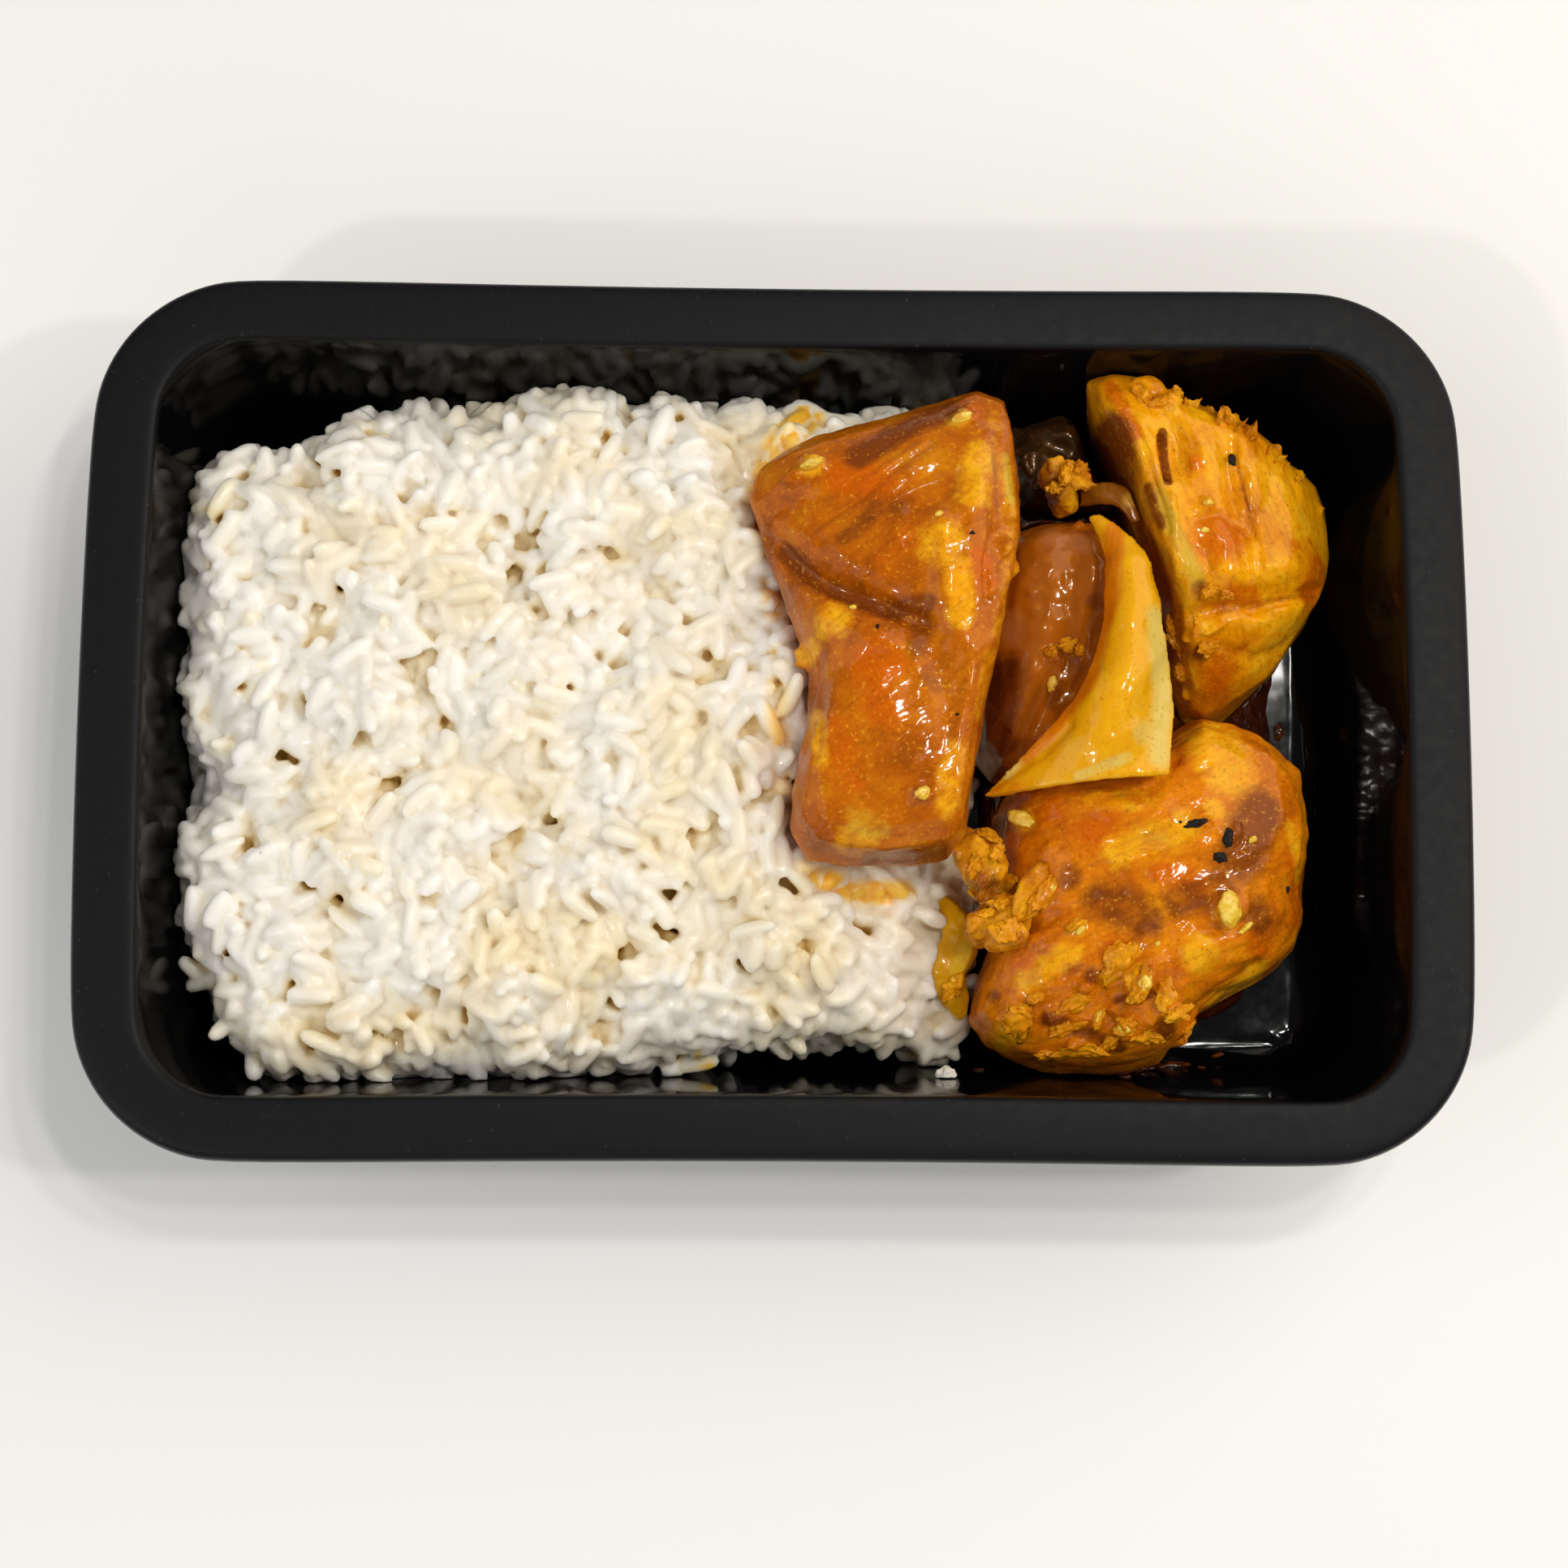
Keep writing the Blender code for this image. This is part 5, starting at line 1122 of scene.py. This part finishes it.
TORN_FLAKES = [
    ("chicken_shreds_near", [
        (33.5, -17.5, 2.9, 1.6, 0.6, 115), (35.2, -20.6, 2.0, 1.2, 0.5, 60), (42.0, -27.4, 3.2, 1.6, 0.7, 50),
        (39.6, -31.8, 3.0, 1.1, 0.6, 85), (36.3, -33.2, 2.6, 1.9, 0.6, 20), (37.9, -36.2, 2.4, 1.2, 0.5, 150),
        (30.0, -27.7, 2.0, 1.2, 0.5, 160), (33.0, -30.5, 1.8, 1.0, 0.5, 30), (31.5, -22.5, 1.9, 1.1, 0.5, 70),
        (38.5, -24.0, 2.1, 1.1, 0.6, 120), (36.0, -28.5, 2.0, 1.4, 0.7, 10),
    ]),
    ("chicken_lower", [
        (47.1, -32.5, 1.6, 1.0, 0.4, 20), (54.6, -38.6, 3.8, 2.8, 0.9, 60), (56.8, -42.3, 3.0, 1.6, 0.8, 75),
        (55.5, -47.8, 2.0, 1.5, 0.7, 10), (46.7, -44.5, 3.0, 1.4, 0.7, 30), (51.3, -46.7, 1.8, 0.8, 0.5, 70),
        (38.7, -47.1, 3.6, 2.6, 0.8, 130), (61.6, -43.2, 3.0, 1.8, 0.7, 100), (63.2, -46.2, 2.0, 1.2, 0.6, 20),
        (46.2, -48.2, 2.6, 1.2, 0.6, 25), (48.9, -51.6, 3.6, 1.5, 0.7, 5), (44.6, -52.2, 2.5, 1.2, 0.6, 170),
        (59.0, -49.5, 2.5, 1.5, 0.7, 160), (41.5, -43.5, 1.9, 1.0, 0.4, 20), (66.5, -48.2, 2.0, 1.0, 0.4, 30),
        (53.0, -50.6, 2.0, 1.2, 0.6, 60),
    ]),
    ("chicken_upper", [
        (68.9, 21.2, 1.6, 1.1, 0.8, 30), (71.6, 20.8, 1.3, 0.9, 0.7, 0), (64.2, 17.4, 1.6, 0.7, 0.6, 80),
        (65.3, 14.6, 1.8, 0.8, 0.7, 105), (66.2, 10.6, 1.4, 0.8, 0.7, 80), (69.7, 13.6, 1.8, 1.4, 0.9, 40),
        (58.6, 53.6, 1.9, 1.2, 0.9, 150), (61.6, 52.2, 1.6, 1.0, 0.7, 20), (71.3, 50.0, 1.5, 0.5, 0.9, 70),
        (72.3, 50.2, 1.3, 0.3, 0.9, 100), (74.6, 48.6, 1.5, 0.3, 0.7, 50), (75.6, 48.0, 1.2, 0.3, 0.6, 75),
        (76.9, 46.8, 1.2, 0.4, 0.7, 40), (79.4, 45.2, 1.1, 0.3, 0.6, 60), (81.3, 44.0, 1.3, 0.5, 0.7, 30),
        (82.6, 43.0, 1.1, 0.3, 0.6, 55), (85.0, 41.4, 1.2, 0.5, 0.6, 35), (67.0, 52.4, 1.4, 0.5, 0.7, 10),
        (64.2, 53.8, 1.2, 0.5, 0.6, 160),
    ]),
    ("chicken_shreds_far", [
        (46.5, 40.5, 1.8, 1.2, 0.9, 80), (48.6, 41.4, 1.2, 1.0, 0.9, 30), (44.6, 38.6, 1.3, 0.9, 0.8, 0),
    ]),
    ("onion_heart", [
        (46.6, 13.2, 1.5, 1.1, 0.7, 20), (44.0, 12.0, 1.2, 0.9, 0.7, 60), (48.8, 12.4, 1.1, 0.8, 0.6, 100),
    ]),
    ("onion_curl", [(29.2, -40.8, 2.2, 1.6, 0.8, 60)]),
]
SAUCE_DRIPS = [
    ("tray", [
        (54.0, -54.0, 4.2, 1.5, 0.5, 8), (60.5, -53.9, 4.0, 1.3, 0.5, 4), (67.2, -53.0, 2.8, 0.8, 0.4, 12),
        (75.1, -51.2, 0.9, 0.4, 0.3, 20), (46.8, -54.6, 1.4, 0.6, 0.4, 0), (34.0, -54.2, 0.9, 0.5, 0.3, 0),
        (72.0, -53.4, 0.6, 0.3, 0.2, 0), (57.6, -55.4, 1.0, 0.5, 0.3, 160), (86.5, 4.0, 1.6, 0.8, 0.3, 80),
    ]),
]
RICE_CRUMB = [
    ("tray", [(28.0, -55.9, 1.6, 1.4, 1.4, 30)]),
]


def chip_form(draw, torn):
    """One chip of unit size, its rim and top the more ragged the more it is torn."""
    deselect()
    bpy.ops.mesh.primitive_ico_sphere_add(subdivisions=4, radius=1)
    chip = bpy.context.object
    places = vertex_places(chip)
    shift = Vector((draw.uniform(0, 99), 0, 0))
    ragged = np.array([noise.noise(Vector((x, y, 0.3 * z)) * 1.4 + shift)
                       + 0.6 * noise.noise(Vector((x, y, z)) * 3.6 + shift) for x, y, z in places])
    uneven = np.array([noise.noise(Vector(one) * 2.2 - shift) for one in places])
    places[:, :2] *= (1 + 0.9 * torn * ragged)[:, None]
    places[:, 2] += torn * (0.9 * uneven + draw.uniform(-0.4, 1.1) * (places[:, 0] ** 2 - 0.4))
    move_vertices(chip, places)
    return chip


def lay_chips(name, material, slot, table, seed, torn):
    """Small chips joined in one piece, each laid on what carries it."""
    draw = random.Random(seed)
    parts = []
    for carrier, chips in table:
        surface = surface_of(bpy.data.objects[carrier + "_piece"])
        for x, y, long, wide, high, turn in chips:
            place, normal = place_on(surface, x, y, 22 * MM)
            lean = (Vector((0, 0, 1)).rotation_difference(normal) @ Quaternion((0, 0, 1), math.radians(turn))
                    @ Quaternion((draw.uniform(-1, 1), draw.uniform(-1, 1), 0), draw.uniform(0, 0.5) * torn))
            chip = chip_form(draw, torn)
            chip.scale = (long * MM, wide * MM, (1 + 0.4 * torn) * high * MM)
            chip.rotation_euler = lean.to_euler()
            chip.location = place + normal * 0.2 * high * MM
            bpy.ops.object.transform_apply(location=True, rotation=True, scale=True)
            parts.append(chip)
    piece = join(parts)
    piece.name = name
    if slot == "boiled_rice":
        keep_in_tray(piece)
    wear(piece, material, slot)


def burnt_spice():
    """Seeds and flecks of spice roasted black: dull, a little brown at their edges.

    The browning is 0.6 mm wide, a fifth of a seed's length.
    """
    material, tree, shader = new_material("burnt_spice")
    place = add(tree, PLACE, "Object", {})
    browned = add(tree, NOISE, "Fac", {"Vector": place, "Scale": 1 / (0.6 * MM), "Detail": 3.0})
    colour = add(tree, RAMP, "Color", {"Fac": browned}, [(0.4, "#0a0806"), (0.7, "#22140c")])
    set_shader(shader, Base_Color=colour, Roughness=0.65, Specular_IOR_Level=0.3)
    return material


def stewed_garlic():
    """Chopped garlic stewed in the sauce: pale yellow, waxy, deeper yellow at its rims.

    The stain comes in patches of 1.6 mm, and the cut face is rough by 0.8 mm, about as the real one is.
    """
    material, tree, shader = new_material("stewed_garlic")
    place = add(tree, PLACE, "Object", {})
    stain = add(tree, NOISE, "Fac", {"Vector": place, "Scale": 1 / (1.6 * MM), "Detail": 3.0})
    colour = add(tree, RAMP, "Color", {"Fac": stain}, [(0.35, "#d79c10"), (0.5, "#e8bc2a"), (0.7, "#f0d05a")])
    cut = add(tree, NOISE, "Fac", {"Vector": place, "Scale": 1 / (0.8 * MM), "Detail": 3.0})
    waxy = add(tree, BUMP, "Normal", {"Height": cut, "Distance": 0.15 * MM, "Strength": 0.6})
    set_shader(shader, Base_Color=colour, Normal=waxy, Roughness=0.4, Subsurface_Weight=0.3,
               Subsurface_Scale=1.2 * MM, Subsurface_Radius=(1.0, 0.8, 0.3), Coat_Weight=0.7, Coat_Roughness=0.08)
    return material


def thin_gravy():
    """A thin run of gravy on the black plastic: nearly black, brown at its edge, with a wet shine.

    The run is thick and thin over 2 mm, and its skin ripples over 3 mm.
    """
    material, tree, shader = new_material("thin_gravy")
    place = add(tree, PLACE, "Object", {})
    thick = add(tree, NOISE, "Fac", {"Vector": place, "Scale": 1 / (2.0 * MM), "Detail": 3.0})
    colour = add(tree, RAMP, "Color", {"Fac": thick}, [(0.40, "#38190a"), (0.60, "#6e3610")])
    skin = add(tree, NOISE, "Fac", {"Vector": place, "Scale": 1 / (3.0 * MM), "Detail": 3.0})
    wet = add(tree, BUMP, "Normal", {"Height": skin, "Distance": 0.1 * MM, "Strength": 1.0})
    set_shader(shader, Base_Color=colour, Normal=wet, Roughness=0.06, IOR=1.42)
    return material


def make_chips():
    flakes = curried_meat("curried_chicken_flakes", 20, ("#b06008", "#d0800a", "#e0960e", "#eaac1c"))
    rice = bpy.data.materials["boiled_rice"]
    lay_chips("burnt_flecks", burnt_spice(), "curried_chicken", BURNT_FLECKS, 6, 0.55)
    lay_chips("garlic_chips", stewed_garlic(), "curried_chicken", GARLIC_CHIPS, 7, 0.25)
    lay_chips("torn_flakes", flakes, "curried_chicken", TORN_FLAKES, 9, 0.7)
    lay_chips("sauce_drips", thin_gravy(), "curry_gravy", SAUCE_DRIPS, 12, 0.4)
    lay_chips("rice_crumb", rice, "boiled_rice", RICE_CRUMB, 14, 0.4)


# ---- stage -----------------------------------------------------------------------------------------------


FLOOR_SIZE = 6.0
ROOM_COLOUR, ROOM_STRENGTH = "#f8f8f8", 0.22

# Each light's place, width, power in watts and colour. The first three are soft. The lamps are small, and only the
# wet coats show them, as the white glints on the curry.
LIGHTS = [
    ("key", (0.95, 0.60, 0.80), 1.50, 11.5, "#fff6ea"),
    ("fill", (-0.80, -0.20, 0.60), 1.00, 3.2, "#fbfaff"),
    ("front", (0.10, -0.95, 0.60), 1.00, 1.8, "#ffffff"),
    ("lamp_1", (0.135, 0.168, 0.780), 0.028, 0.45, "#fffcf6"),
    ("lamp_2", (0.191, 0.070, 0.780), 0.034, 0.60, "#fffcf6"),
    ("lamp_3", (0.235, 0.177, 0.760), 0.034, 0.60, "#fffcf6"),
    ("lamp_4", (0.546, -0.034, 0.780), 0.045, 1.20, "#fffcf6"),
    ("lamp_5", (-0.464, -0.399, 0.780), 0.045, 1.20, "#fffcf6"),
]


def make_stage():
    """A plain pale floor, soft lights, and the camera of the photograph."""
    deselect()
    bpy.ops.mesh.primitive_plane_add(size=FLOOR_SIZE)
    floor = bpy.context.object
    floor.name = "floor"
    material, _tree, shader = new_material("pale_floor")
    set_shader(shader, Base_Color=linear("#f2f2f0"), Roughness=0.8)
    floor.data.materials.append(material)

    for name, place, size, power, colour in LIGHTS:
        bpy.ops.object.light_add(type="AREA", location=place)
        light = bpy.context.object
        light.name = name
        light.data.energy, light.data.size, light.data.color = power, size, linear(colour)[:3]
        light.rotation_euler = (-Vector(place)).to_track_quat("-Z", "Y").to_euler()

    world = bpy.data.worlds.new("soft_room")
    world.use_nodes = True
    back = world.node_tree.nodes["Background"]
    back.inputs["Color"].default_value = linear(ROOM_COLOUR)
    back.inputs["Strength"].default_value = ROOM_STRENGTH
    bpy.context.scene.world = world
    bpy.context.scene.view_settings.view_transform = "Standard"

    bpy.ops.object.camera_add(location=CAMERA_PLACE, rotation=[math.radians(turn) for turn in CAMERA_TURN])
    camera = bpy.context.object
    camera.data.lens = CAMERA_LENS
    camera.data.sensor_width = SENSOR_WIDTH
    camera.data.clip_start = 10 * MM
    bpy.context.scene.camera = camera


make_stage()
make_tray()
make_rice()
make_chicken()
make_onion()
make_gravy()
make_chips()
